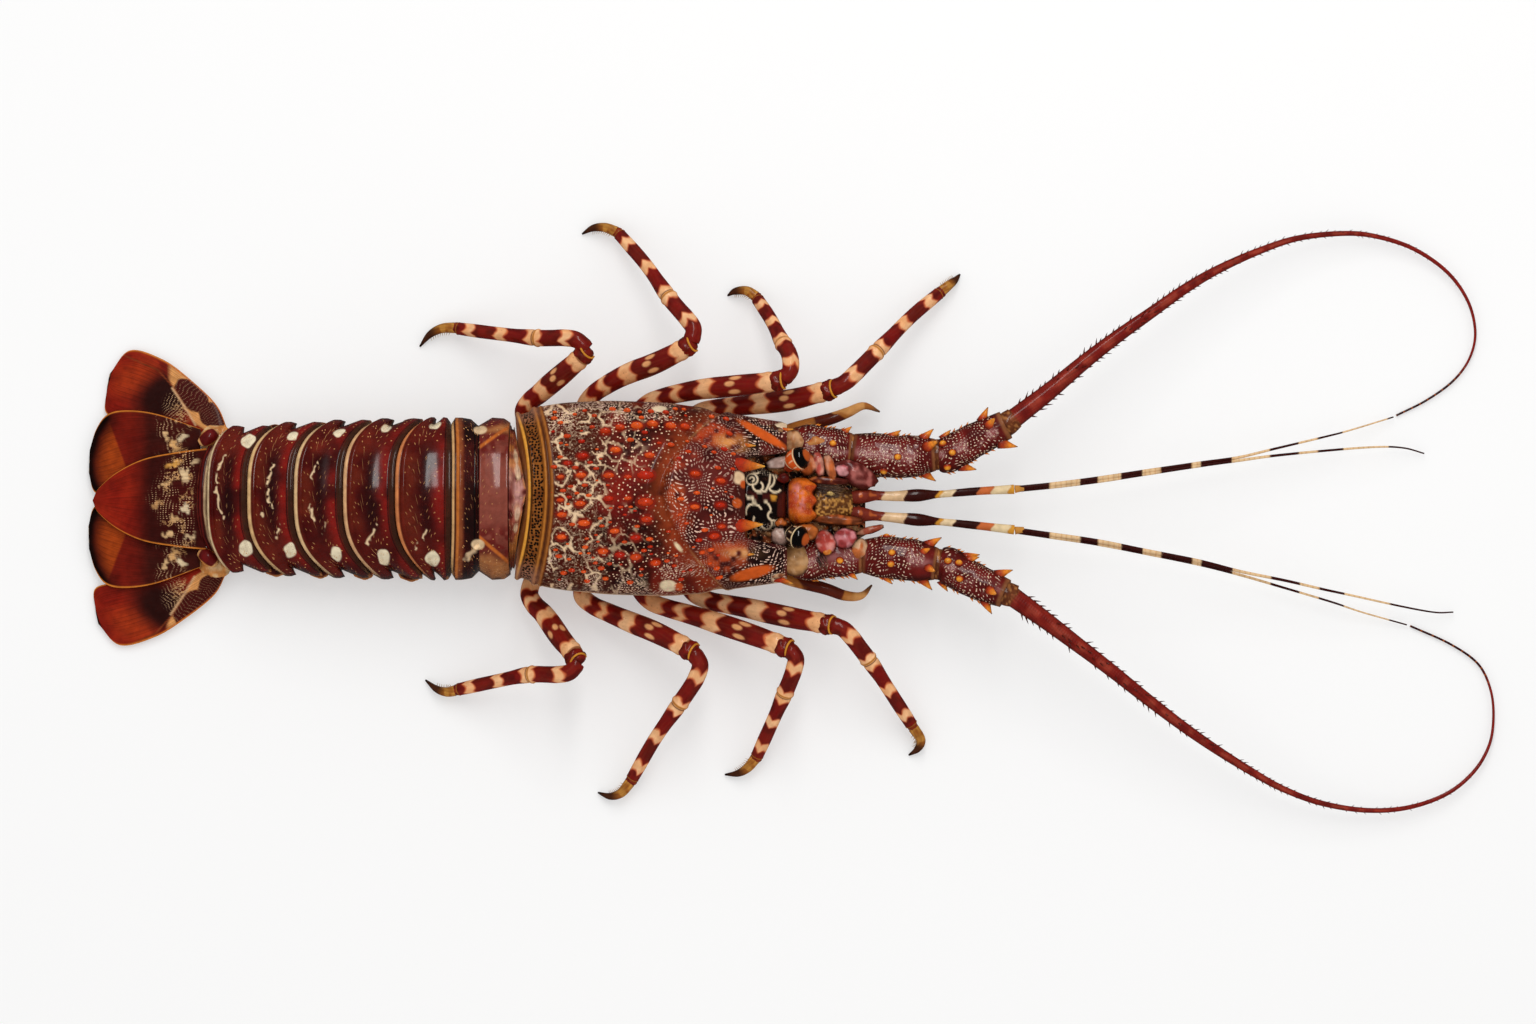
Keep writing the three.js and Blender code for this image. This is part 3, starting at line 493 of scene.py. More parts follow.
def shellMaterial(name, looks):
    # glossy shell: painted colour, then a fine network, dots and specks where the grain asks for them
    looks = {**shellLooks, **looks}
    material, sheet = emptyMaterial(name)
    paint = sheet.add("ShaderNodeAttribute", {"attribute_name": "paint"})
    grain = sheet.add("ShaderNodeAttribute", {"attribute_name": "grain"})
    network, dots, specks = (sheet.add("ShaderNodeSeparateColor", None, {0: grain}, k) for k in range(3))
    pores = sheet.add("ShaderNodeAttribute", {"attribute_name": "grain"}, None, 3)
    surface = sheet.add("ShaderNodeUVMap", {"uv_map": "surface"})
    flat = sheet.scaled(surface, 100.0)  # millimetres over the surface
    solid = sheet.scaled(sheet.add("ShaderNodeTexCoord", None, None, 3), 1000.0)  # millimetres in space
    place = sheet.drifted(flat, sheet.scaled(sheet.noise(flat, 0.22, 2.0, 1), 2.2))
    if "curl" in looks:
        scale, reach = looks["curl"]
        place = sheet.drifted(place, sheet.scaled(sheet.noise(flat, scale, 1.0, 1), reach))
    breaks = sheet.noise(flat, 0.5, 3.0)
    shade = sheet.noise(solid, 0.35, 4.0)
    darker = sheet.multiplied(paint, light("#8a7a74"))
    colour = sheet.mix(sheet.ease(shade, 0.3, 0.75, 0.0, looks["mottle"]), paint, darker)
    height = sheet.noise(solid, 2.2, 3.0) * 0.25
    if "network" in looks:
        cell, line, cream = looks["network"]
        edge = sheet.voronoi(place, 1 / cell, "DISTANCE_TO_EDGE", 0.9)
        finer = sheet.voronoi(place, 1.9 / cell, "DISTANCE_TO_EDGE", 0.9)
        lines = 1.0 - sheet.ease(edge, line * 0.6, line * 1.5)
        fine = (1.0 - sheet.ease(finer, line * 0.5, line * 1.4)) * sheet.ease(breaks, 0.5, 0.58)
        lines = lines * sheet.ease(breaks, *looks["netBreaks"])
        whole = sheet.add("ShaderNodeMath", {"operation": "MAXIMUM"}, {0: lines, 1: fine})
        mask = whole * network
        colour = sheet.mix(mask, colour, light(cream))
        height = height + mask * 0.5
    if "dots" in looks:
        spacing, radius, cream = looks["dots"]
        near = sheet.voronoi(place, 1 / spacing, "F1", 0.55)
        mask = (1.0 - sheet.ease(near, radius * 0.7, radius * 1.25)) * dots
        colour = sheet.mix(mask, colour, light(cream))
        height = height + mask * 0.6
    if "rows" in looks:
        spacing, fullness, cream = looks["rows"]
        swirl = sheet.scaled(sheet.noise(flat, 0.1, 1.0, 1), looks["swirlReach"])
        warped = sheet.drifted(flat, swirl)
        across, along = (sheet.add("ShaderNodeSeparateXYZ", None, {0: warped}, k) for k in (0, 1))
        turns = 2 * math.pi / spacing
        wave = (across * turns).cosine() + (along * turns).cosine()
        kept = sheet.ease(sheet.noise(flat, 0.9, 2.0), 0.36, 0.5)
        mask = sheet.ease(wave, fullness, fullness + 0.5) * dots * kept
        colour = sheet.mix(mask, colour, light(cream))
        height = height + mask * 0.6
    if "specks" in looks:
        spacing, radius, gold = looks["specks"]
        near = sheet.voronoi(flat, 1 / spacing, "F1", 1.0)
        mask = (1.0 - sheet.ease(near, radius * 0.6, radius)) * specks
        colour = sheet.mix(mask, colour, light(gold))
    if "pores" in looks:
        spacing, radius, dark = looks["pores"]
        near = sheet.voronoi(flat, 1 / spacing, "F1", 0.7)
        mask = (1.0 - sheet.ease(near, radius * 0.7, radius * 1.2)) * pores
        colour = sheet.mix(mask, colour, light(dark))
        height = height - mask * 0.5
    if "streaks" in looks:
        fine, strength, dark = looks["streaks"]
        stretched = sheet.add("ShaderNodeMapping", None, {"Vector": flat, "Scale": (fine[0], fine[1], 1.0)})
        lines = sheet.noise(stretched, 1.0, 3.0)
        colour = sheet.mix(sheet.ease(lines, 0.35, 0.7, 0.0, strength), colour, light(dark))
        height = height + lines * looks["streakBump"]
    if "rings" in looks:
        spacing, depth = looks["rings"]
        squeezed = sheet.add("ShaderNodeMapping", None, {"Vector": flat, "Scale": (1 / spacing, 0.05, 1.0)})
        turns = sheet.add("ShaderNodeTexWave", {"wave_type": "BANDS", "bands_direction": "X"},
                          {"Vector": squeezed, "Scale": 0.314, "Distortion": 1.2, "Detail": 1.0})
        height = height + turns * depth
    rough = sheet.ease(sheet.noise(solid, 0.8, 3.0), 0.3, 0.7, looks["rough"] - 0.06, looks["rough"] + 0.1)
    bump = sheet.add("ShaderNodeBump", None, {
        "Strength": looks["bump"], "Distance": looks["bumpDepth"] * millimetre, "Height": height})
    shader = sheet.add("ShaderNodeBsdfPrincipled", None, {
        "Base Color": colour, "Roughness": rough, "Normal": bump,
        "Specular IOR Level": looks["gloss"],
        "Coat Weight": looks["coat"], "Coat Roughness": looks["coatRough"]})
    sheet.add("ShaderNodeOutputMaterial", None, {"Surface": shader})
    return material


def finishPiece(thing, slot, material, *nodes):
    thing.data.materials.clear()
    thing.data.materials.append(material)
    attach(thing, "root")
    if nodes:
        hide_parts(*nodes)
    return thing


def sproutTree(name, shape):
    # puts a small bent cone or a round knob on every point, turned and sized by the point's own values
    tree = bpy.data.node_groups.new(name, "GeometryNodeTree")
    face = tree.interface
    face.new_socket("Points", in_out="INPUT", socket_type="NodeSocketGeometry")
    for title, value in (("Bend", 0.3), ("Point Width", 0.06)):
        face.new_socket(title, in_out="INPUT", socket_type="NodeSocketFloat").default_value = value
    face.new_socket("Finish", in_out="INPUT", socket_type="NodeSocketMaterial")
    face.new_socket("Mesh", in_out="OUTPUT", socket_type="NodeSocketGeometry")
    sheet = Sheet(tree)
    entry = tree.nodes.new("NodeGroupInput")
    points, bend, pointWidth, finish = (Wire(sheet, entry.outputs[k]) for k in range(4))
    if shape == "thorn":
        form = sheet.add("GeometryNodeMeshCone", None, {
            "Vertices": 8, "Side Segments": 4, "Radius Top": pointWidth, "Radius Bottom": 0.5, "Depth": 1.0})
    else:
        form = sheet.add("GeometryNodeMeshUVSphere", None, {"Segments": 12, "Rings": 8, "Radius": 0.5})
    spread = sheet.add("ShaderNodeSeparateXYZ", None, {0: sheet.add("GeometryNodeInputPosition")}, 2)
    curl = sheet.add("ShaderNodeCombineXYZ", None, {0: spread * spread * bend})
    form = sheet.add("GeometryNodeSetPosition", None, {"Geometry": form, "Offset": curl})
    form = sheet.add("GeometryNodeStoreNamedAttribute", {"data_type": "FLOAT", "domain": "POINT"},
                     {"Geometry": form, "Name": "reach", "Value": spread})

    def read(title):
        return sheet.add("GeometryNodeInputNamedAttribute", {"data_type": "FLOAT_VECTOR"}, {"Name": title})

    turn = sheet.add("FunctionNodeAlignRotationToVector", {"axis": "Z"}, {"Vector": read("upward")})
    turn = sheet.add("FunctionNodeAlignRotationToVector", {"axis": "X", "pivot_axis": "Z"},
                     {"Rotation": turn, "Vector": read("heading")})
    copies = sheet.add("GeometryNodeInstanceOnPoints", None,
                       {"Points": points, "Instance": form, "Rotation": turn, "Scale": read("size")})
    joined = sheet.add("GeometryNodeRealizeInstances", None, {0: copies})
    joined = sheet.add("GeometryNodeSetShadeSmooth", None, {0: joined})
    joined = sheet.add("GeometryNodeSetMaterial", None, {"Geometry": joined, "Material": finish})
    leave = tree.nodes.new("NodeGroupOutput")
    tree.links.new(joined.socket, leave.inputs[0])
    return tree


def sprout(name, tree, material, places, upward, heading, sizes, bend=0.0, pointWidth=0.06, paint=(1, 1, 1)):
    # the heading, the sizes and the paint are the same for all places, or given for each
    count = (len(places), 3)
    seedMesh = bpy.data.meshes.new(name + "_points")
    seedMesh.vertices.add(len(places))
    seedMesh.vertices.foreach_set("co", (np.asarray(places) * millimetre).astype(np.float32).ravel())
    for title, values in (("upward", upward), ("heading", heading),
                          ("size", np.asarray(sizes) * millimetre)):
        layer = seedMesh.attributes.new(title, "FLOAT_VECTOR", "POINT")
        layer.data.foreach_set("vector", np.broadcast_to(values, count).astype(np.float32).ravel())
    layer = seedMesh.attributes.new("paint", "FLOAT_COLOR", "POINT")
    full = np.concatenate([np.broadcast_to(paint, count), np.ones((len(places), 1))], 1)
    layer.data.foreach_set("color", full.astype(np.float32).ravel())
    seedThing = bpy.data.objects.new(name + "_points", seedMesh)
    bpy.context.scene.collection.objects.link(seedThing)
    modifier = seedThing.modifiers.new("sprout", "NODES")
    modifier.node_group = tree
    inputs = {"Bend": bend, "Point Width": pointWidth, "Finish": material}
    for item in tree.interface.items_tree:
        if item.in_out == "INPUT" and item.name in inputs:
            modifier[item.identifier] = inputs[item.name]
    seedThing.update_tag()
    depsgraph = bpy.context.evaluated_depsgraph_get()
    mesh = bpy.data.meshes.new_from_object(seedThing.evaluated_get(depsgraph))
    mesh.name = name
    bpy.data.objects.remove(seedThing)
    thing = bpy.data.objects.new(name, mesh)
    bpy.context.scene.collection.objects.link(thing)
    return thing


def thornMaterial(name, stops, rough=0.3):
    # colour runs from the root of a thorn to its tip
    material, sheet = emptyMaterial(name)
    reach = sheet.add("ShaderNodeAttribute", {"attribute_name": "reach"}, None, 2)
    paint = sheet.add("ShaderNodeAttribute", {"attribute_name": "paint"})
    body = sheet.add("ShaderNodeTexCoord", None, None, 3)
    grain = sheet.noise(body, 900.0, 3.0)
    ramp = sheet.add("ShaderNodeValToRGB", {"stops": [(place, light(code)) for place, code in stops]},
                     {0: reach})
    colour = sheet.multiplied(ramp, paint)
    colour = sheet.mix(sheet.ease(grain, 0.4, 0.7, 0.0, 0.35), colour, light("#3a120a"))
    bump = sheet.add("ShaderNodeBump", None,
                     {"Strength": 0.4, "Distance": 0.1 * millimetre, "Height": grain})
    shader = sheet.add("ShaderNodeBsdfPrincipled", None, {
        "Base Color": colour, "Roughness": sheet.ease(grain, 0.3, 0.7, rough - 0.05, rough + 0.1),
        "Normal": bump, "Specular IOR Level": 0.2, "Coat Weight": 0.35, "Coat Roughness": 0.08})
    sheet.add("ShaderNodeOutputMaterial", None, {"Surface": shader})
    return material


placeCamera()
placeLights()
print("camera and light placed")

# the finishes: a pattern gives its spacing in millimetres, the width or reach of its marks, and a colour
carapaceFinish = shellMaterial("carapace shell", {
    "network": (2.1, 0.075, "#f2d3ae"), "curl": (0.9, 1.3), "netBreaks": (0.42, 0.5),
    "rows": (1.6, 0.7, "#ecc4ae"), "specks": (2.3, 0.17, "#ecc7a4"), "pores": (1.25, 0.4, "#160803"),
    "bump": 0.7, "bumpDepth": 0.3, "mottle": 0.3, "gloss": 0.1})
tailFinish = shellMaterial("tail shell", {
    "dots": (1.1, 0.14, "#7a2a1a"), "specks": (3.2, 0.11, "#d39a60"), "pores": (0.9, 0.28, "#1c0806"),
    "rough": 0.28, "bump": 0.4, "bumpDepth": 0.2, "coat": 0.55, "coatRough": 0.12})
fanFinish = shellMaterial("tail fan", {
    "network": (1.5, 0.085, "#e6b074"), "curl": (1.2, 0.8), "netBreaks": (0.45, 0.53),
    "rows": (1.0, 1.05, "#e6b98c"), "swirlReach": 4.0, "streaks": ((0.05, 1.9), 0.45, "#2a0603"),
    "bump": 0.4, "bumpDepth": 0.15, "coat": 0.12, "gloss": 0.06})
jointFinish = shellMaterial("joint skin", {
    "specks": (1.8, 0.16, "#dcb085"), "bump": 0.7, "bumpDepth": 0.35, "coat": 0.35, "mottle": 0.6})
bellyFinish = shellMaterial("belly shell", {"rough": 0.5, "coat": 0.1, "mottle": 0.5})
browFinish = shellMaterial("brow shell", {
    "dots": (1.1, 0.22, "#e9d3b8"), "rough": 0.28, "bump": 0.4, "coat": 0.5, "coatRough": 0.06,
    "mottle": 0.2})
plateFinish = shellMaterial("nose plate", {
    "specks": (1.1, 0.2, "#e09060"), "rough": 0.4, "bump": 0.9, "bumpDepth": 0.35, "coat": 0.2,
    "mottle": 0.6})
stalkFinish = shellMaterial("antenna stalk", {
    "network": (1.3, 0.09, "#e6beb4"), "curl": (1.0, 0.7), "rows": (1.5, 1.15, "#eec8b0"),
    "swirlReach": 9.0, "specks": (3.0, 0.11, "#f0d6b0"), "bump": 1.0, "bumpDepth": 0.4, "coat": 0.35,
    "mottle": 0.4})
whipFinish = shellMaterial("whip", {
    "rings": (1.1, 0.7), "streaks": ((0.1, 1.2), 0.35, "#2e0805"), "bump": 0.7, "bumpDepth": 0.2})
antennuleFinish = shellMaterial("antennule", {"rough": 0.3, "bump": 0.4, "coat": 0.4, "mottle": 0.3})
legFinish = shellMaterial("leg shell", {
    "specks": (3.6, 0.09, "#8a3418"), "streaks": ((0.05, 0.7), 0.16, "#8a4020"), "streakBump": 0.3,
    "bumpDepth": 0.2, "coat": 0.35, "mottle": 0.25})
clawFinish = shellMaterial("claw", {"streaks": ((0.08, 1.0), 0.4, "#3a1c0a"), "mottle": 0.4})
eyeFinish = shellMaterial("eye", {
    "rough": 0.15, "bump": 0.1, "coat": 0.8, "coatRough": 0.03, "mottle": 0.1})
thornFinish = thornMaterial("thorn", [
    (0.0, "#6a140c"), (0.3, "#b8401a"), (0.62, "#ee8a24"), (0.85, "#e08a2c"), (1.0, "#4a1a0a")])
hornFinish = thornMaterial("horn", [
    (0.0, "#8e1a0c"), (0.45, "#b8300f"), (0.75, "#d56f1d"), (1.0, "#e2a23c")])
spineFinish = thornMaterial("whip spine", [(0.0, "#6a1a10"), (0.5, "#4a140d"), (1.0, "#2a0d09")])
bristleFinish = thornMaterial("bristle", [(0.0, "#8a5a2c"), (1.0, "#c9a878")])
hairFinish = thornMaterial("mouth hair", [(0.0, "#241411"), (0.6, "#4b3428"), (1.0, "#8c6a50")])
knobFinish = thornMaterial("knob", [(0.0, "#ffffff"), (1.0, "#ffffff")], 0.22)
goldKnobFinish = thornMaterial("gold knob", [(0.0, "#4a100a"), (0.25, "#a8300f"), (0.45, "#ec9a2c")], 0.2)

thornTree = sproutTree("thorns", "thorn")
knobTree = sproutTree("knobs", "knob")
print("finishes made")

carapace = {  # places and sizes along the shell
    "rear": -43.8, "rearBow": -5.8, "groove": 8.4, "grooveBow": 24, "front": 42.1, "cheek": 16.6,
    "bottom": 16, "widest": 27, "roundness": 2.2, "drift": -2.4,
    "topColumns": 236, "underColumns": 54, "faceRows": 30,
    "halfWidths": [(-50, 31.8), (-42, 35.3), (-31, 37.4), (-12, 38.7), (12, 38.6), (32, 35.8), (59, 31.7)],
    "tops": [(-50, 47), (-44, 50), (-36, 52), (-20, 58), (0, 61.5), (15, 62), (30, 56), (42, 48.5),
             (59, 42)],
    "underWidths": [1, 0.93, 0.84, 0.55, 0.28, 0], "underDrops": [0, 0.6, 1, 1, 1, 1],
    "grooveDepth": 1.6, "ridge": 0.9,
}


def midline(x):
    return carapace["drift"] * smooth(x, -50, 60)


def softKnots(pairs, position):
    # the same as knots with its corners eased
    spread = np.linspace(-5, 5, 9)
    return np.mean([knots(pairs, position + step) for step in spread], 0)


def shellTop(x, y):
    share = np.clip(np.abs(y - midline(x)) / softKnots(carapace["halfWidths"], x), 0, 1)
    rise = (1 - share ** carapace["roundness"]) ** (1 / carapace["roundness"])
    return carapace["widest"] + (softKnots(carapace["tops"], x) - carapace["widest"]) * rise


def carapaceSurface(station, angle, reach):
    turn = np.abs(angle) / (np.pi / 2)
    side = -np.sign(angle)
    under = np.clip(turn - 1, 0, 1)
    above = turn <= 1
    across = np.where(above, np.abs(np.sin(angle)) ** 0.95, evenly(carapace["underWidths"], under))
    share = across * reach
    rear = carapace["rear"] + carapace["rearBow"] * share ** 2
    groove = carapace["groove"] + carapace["grooveBow"] * share ** 1.6
    face = carapace["front"] + carapace["cheek"] * smooth(share, 0.46, 0.62)
    x = np.where(station <= 1, rear + (groove - rear) * station, groove + (face - groove) * (station - 1))
    d = station * (groove - rear)  # millimetres from the rear edge
    ridges = hump(d, 0.8, 0.9) + 0.9 * hump(d, 7.4, 0.9) + 0.5 * hump(d, 10, 0.6)
    relief = carapace["ridge"] * ridges - 0.6 * band(d, 2.2, 6.2, 0.6)
    relief = relief + 0.4 * hump(station, 0.91, 0.05) + 0.35 * hump(station, 1.12, 0.06)
    relief = relief - carapace["grooveDepth"] * hump(station, 1, 0.055) * (1 - 0.35 * share)
    relief = relief - 0.6 * smooth(station, 1.9, 2)
    halfWidth = softKnots(carapace["halfWidths"], x)
    top = softKnots(carapace["tops"], x) + relief
    rise = np.maximum(np.cos(angle), 0) ** 0.95
    z = carapace["widest"] + (top - carapace["widest"]) * rise * reach
    drop = (carapace["widest"] - carapace["bottom"]) * evenly(carapace["underDrops"], under) * reach
    z = z - np.where(above, 0, drop)
    wide = halfWidth + relief * np.where(above, 1, 0.3)
    return np.stack([x, midline(x) + side * wide * share, z], -1), share * side


knobs = [  # x, y, length of the large red knobs
    (-30.8, 5.3, 3), (-22.6, 5.6, 4.4), (-11.6, 5.3, 4.6), (-4.1, 4.6, 3.4), (2.9, 5.2, 7), (22.6, 6, 4.4),
    (32.6, 3.6, 4.2), (-28, 10.6, 3.4), (-22, 13.4, 4.4), (-9, 15.6, 4.4), (4.5, 13.2, 4.4),
    (-13.2, 23.5, 4.2), (-7.3, 25, 4), (-0.6, 25.6, 5), (5.5, 26.4, 4.4), (12.8, 25.6, 4.4), (18.4, 25.4, 4),
    (-30.8, -4, 3.2), (-22.9, -5.6, 4.4), (-11.6, -3.9, 4.2), (-4.1, -3.9, 3.2), (2.9, -5.4, 6.6),
    (22.4, -7.1, 4), (32.4, -6, 4.2), (-30.2, -9.8, 4.2), (-21.4, -13.3, 5), (3.4, -12.2, 4.6),
    (-30.4, -18.4, 4.2), (-9.3, -16.6, 4), (-1, -19.2, 4.4), (-14, -24.3, 4.4), (-7.3, -25.7, 4.2),
    (-1, -26.6, 4.6), (6.8, -28.8, 4.4), (30, -18.2, 4.6), (33, -14.4, 3.6),
]
netLooks = {"cells": 96, "apart": 4.0, "width": 0.62, "kept": (0.3, 0.44), "seed": 19}
knobLooks = {"width": 0.54, "height": 0.36, "lean": 0.16, "small": 125, "seed": 8, "warmthSeed": 5}


def smallKnobs():
    # little red knobs, dense on the rear and on the flanks, kept clear of the large ones
    random = np.random.default_rng(knobLooks["seed"])
    kept = []
    while len(kept) < knobLooks["small"]:
        x, y = random.uniform(-34, 38), random.uniform(-36, 34)
        wanted = max(0.9 * (x < -14), 0.8 * (abs(y) > 24), 0.3)
        onShell = abs(y - midline(x)) < 0.93 * knots(carapace["halfWidths"], x)
        clear = all(math.hypot((x - a) * 0.8, y - b) > 0.5 * length + 1.2 for a, b, length in knobs + kept)
        offGroove = abs(x - carapace["groove"] - carapace["grooveBow"] * abs(y / 38) ** 1.6) > 2.4
        if random.random() < wanted and onShell and clear and offGroove:
            kept.append((x, y, random.uniform(1.3, 3.3)))
    return kept


def shellNormal(x, y):
    step = 0.2
    slopeX = (shellTop(x + step, y) - shellTop(x - step, y)) / (2 * step)
    slopeY = (shellTop(x, y + step) - shellTop(x, y - step)) / (2 * step)
    normal = np.stack([-slopeX, -slopeY, np.ones_like(slopeX)], -1)
    return normal / np.linalg.norm(normal, axis=-1, keepdims=True)


def paintCarapace(points, station, angle, share):
    x, y = points[..., 0], points[..., 1]
    wide = np.abs(share)
    patch, fine = blotch(x, y, 7, 3), blotch(x, y, 2.2, 4)
    d = station * (carapace["groove"] + carapace["grooveBow"] * wide ** 1.6
                   - carapace["rear"] - carapace["rearBow"] * wide ** 2)
    paint = coat(plain("#2e0a05", x.shape), "#611709", patch)
    coat(paint, "#140504", 0.8 * smooth(fine, 0.4, 0.85))
    rearZone = smooth(d, 10, 11) * (1 - smooth(x, -16, -10))
    frontZone = smooth(station, 1.02, 1.1)
    flank = smooth(wide, 0.6, 0.8)
    middle = 1 - smooth(np.abs(y - midline(x)), 6, 15)
    coat(paint, "#5e240c", 0.5 * rearZone * smooth(fine, 0.2, 0.6))
    lowMiddle = band(x, -16, 7, 3) * band(y, -24, -4, 3)
    coat(paint, "#1c0503", 0.5 * lowMiddle)
    coat(paint, "#90130c", 0.55 * middle * band(x, -17, 6, 3) * smooth(patch, 0.1, 0.7))
    coat(paint, "#8c200d", 0.6 * (1 - rearZone) * patches(x, y, 9, 17, 0.4, 0.75))
    coat(paint, "#5a1c18", 0.8 * frontZone)
    coat(paint, "#6e2a24", 0.5 * frontZone * smooth(patch, 0.45, 0.8))
    coat(paint, "#240a0a", 0.6 * frontZone * (1 - smooth(patch, 0.2, 0.5)))
    for centreX, centreY, long, wideness, turn, code in (
            (30, 22.5, 13, 4.5, -12, "#b9431c"), (38, 19.4, 7, 3, -8, "#e39a55"),
            (35, -25.5, 11, 5.4, 8, "#bd4a20"), (42, -24.4, 6, 1.6, 0, "#e8ab6a"),
            (16, 11, 7, 3, 20, "#a83a1c"), (15, -3, 3.5, 5, 0, "#b5481f"),
            (17, -11, 4.5, 6, 0, "#a53b1c")):
        mask = spot(x, y, centreX, centreY, long, wideness, turn, 1.8)
        coat(paint, code, 0.85 * mask * smooth(fine, 0.1, 0.6))
    groove = hump(station, 1.0, 0.07 + 0.03 * patch) * (1 - 0.3 * flank)
    coat(paint, "#a04018", 0.7 * groove * smooth(fine, -0.2, 0.6))
    coat(paint, "#c08552", 0.6 * hump(station, 1.035, 0.02) * smooth(wide, 0.5, 0.75))
    # rear ridges with their pored band
    coat(paint, "#7a4114", 1 - smooth(d, 10.2, 10.8))
    coat(paint, "#94561e", band(d, 1.9, 6.6, 0.2) * smooth(fine, 0.1, 0.5))
    for middleAt, halfWide, code in ((0.75, 0.5, "#e39c38"), (1.6, 0.3, "#301408"), (7.3, 0.4, "#b87228"),
                                     (8.5, 0.4, "#54290f"), (9.8, 0.35, "#a8662a")):
        coat(paint, code, band(d, middleAt - halfWide, middleAt + halfWide, 0.2))
    # painted highlight: the rear band pales to pinkish brown towards the flanks
    coat(paint, "#a2705c", 0.7 * smooth(wide, 0.74, 0.96) * (1 - smooth(d, 6, 11)))
    # an uneven cream net whose cells hold the knobs, and a red bed under each knob
    bentX = x + 2.4 * (blotch(x, y, 3.2, 9) - 0.5) + 1.0 * (blotch(x, y, 1.3, 10) - 0.5)
    bentY = y + 2.4 * (blotch(x, y, 3.2, 11) - 0.5) + 1.0 * (blotch(x, y, 1.3, 12) - 0.5)
    random = np.random.default_rng(netLooks["seed"])
    centres = [(a, b) for a, b, length in knobs if a < -8]
    while len(centres) < netLooks["cells"]:
        spotX, spotY = random.uniform(-40, 2), random.uniform(-37, 36)
        if all(math.hypot(spotX - a, spotY - b) > netLooks["apart"] for a, b in centres):
            centres.append((spotX, spotY))
    kept = patches(x, y, 4.2, 13, *netLooks["kept"])
    netZone = rearZone + 0.5 * (1 - rearZone) * band(x, -14, 2, 3) * smooth(np.abs(y), 4, 10)
    net = cellLines(bentX, bentY, centres, netLooks["width"])
    coat(paint, "#efcda4", net * kept * netZone * smooth(d, 10.4, 11))
    for knobX, knobY, length in knobs:
        coat(paint, "#8c1f0e", 0.9 * spot(x, y, knobX, knobY, length * 0.62, length * 0.45, 0, 0.5))
    coat(paint, "#efdcb4", spot(x, y, 8.2, 33.3, 2.8, 1.5) + spot(x, y, 11.7, -36.9, 3.3, 1.9))
    coat(paint, "#d0521e", spot(x, y, 15.9, -37.2, 1.7, 1.3))
    coat(paint, "#ead2a8", spot(x, y, 15.8, -22.7, 2.2, 0.8, -50))
    # the front edge, the cheeks and the thin pale rim below the flanks
    cheek = smooth(x, 38, 46) * smooth(np.abs(y + 2), 11, 15)
    dark = cheek * patches(x, y, 5, 12, 0.35, 0.55)
    coat(paint, "#1c0b09", 0.9 * dark)
    cheekRidges = spot(x, y, 49, 23.6, 11, 1.9, -31, 0.5) + spot(x, y, 45, -31.6, 8.5, 2.1, 15, 0.5)
    cheekShadows = spot(x, y, 49, 23.6, 12, 2.7, -31, 0.6) + spot(x, y, 45, -31.6, 9.6, 2.9, 15, 0.6)
    coat(paint, "#160806", cheekShadows)
    coat(paint, "#d65a1a", cheekRidges)
    coat(paint, "#efd6b0", spot(x, y, 57, 27.6, 4, 1.6, 20, 0.6) + spot(x, y, 56, -34, 3.4, 2, -20, 0.6))
    between = smooth(x, 36, 41) * (1 - smooth(np.abs(y + 1.5), 8, 11))
    coat(paint, "#42150f", 0.9 * between)
    coat(paint, "#e9c79c", spot(x, y, 39.6, 5.2, 2.4, 2.6, 0, 0.5) * smooth(fine, 0.2, 0.4))
    coat(paint, "#c8561c", spot(x, y, 41.4, 2.8, 1.2, 1.6) + spot(x, y, 39, -4.9, 1.9, 1.9))
    edge = band(np.abs(angle), 1.5, 1.62, 0.04)
    coat(paint, "#e3bd92", 0.8 * edge)
    coat(paint, "#b07a52", smooth(np.abs(angle), 1.75, 2.0))
    # where the fine network, the dots and the specks go
    body = smooth(d, 10.6, 11.4) * (1 - smooth(np.abs(angle), 1.62, 1.8))
    offGroove = 1 - 0.7 * groove
    cluster = patches(x, y, 6, 14, 0.3, 0.6)
    behindGroove = 1 - smooth(station, 0.95, 1.05)
    network = (0.25 + 0.4 * flank) * rearZone + 0.3 * flank * cluster * behindGroove
    network = body * np.clip(network, 0, 1) * (1 - 0.9 * middle * smooth(x, -18, -12))
    network = network * (0.4 + 0.6 * cluster) * (1 - 0.6 * smooth(wide, 0.8, 0.95))
    dots = 0.9 * frontZone * (0.45 + 0.55 * cluster) + (0.04 + 0.96 * flank) * cluster + dark
    dots = body * np.clip(dots, 0, 1) * (1 - between)
    specks = body * (1 - 0.5 * rearZone) * (1 - frontZone) * (1 - 0.5 * lowMiddle)
    specks = specks * smooth(patch, 0.1, 0.35)
    orange = spot(x, y, 30, 22.5, 12, 4, -12, 2) + spot(x, y, 35, -25.5, 10, 5, 8, 2)
    dots = dots * (1 - 0.85 * np.clip(orange, 0, 1)) * (1 - np.clip(cheekRidges, 0, 1))
    for knobX, knobY, length in knobs:
        keep = 1 - spot(x, y, knobX, knobY, length * 0.72, length * 0.55, 0, 0.5)
        network, dots = network * keep, dots * keep
    pores = band(d, 2.1, 6.4, 0.3)
    grain = np.stack([network * offGroove, dots * offGroove, specks * offGroove, pores], -1)
    return paint, np.clip(grain, 0, 1)


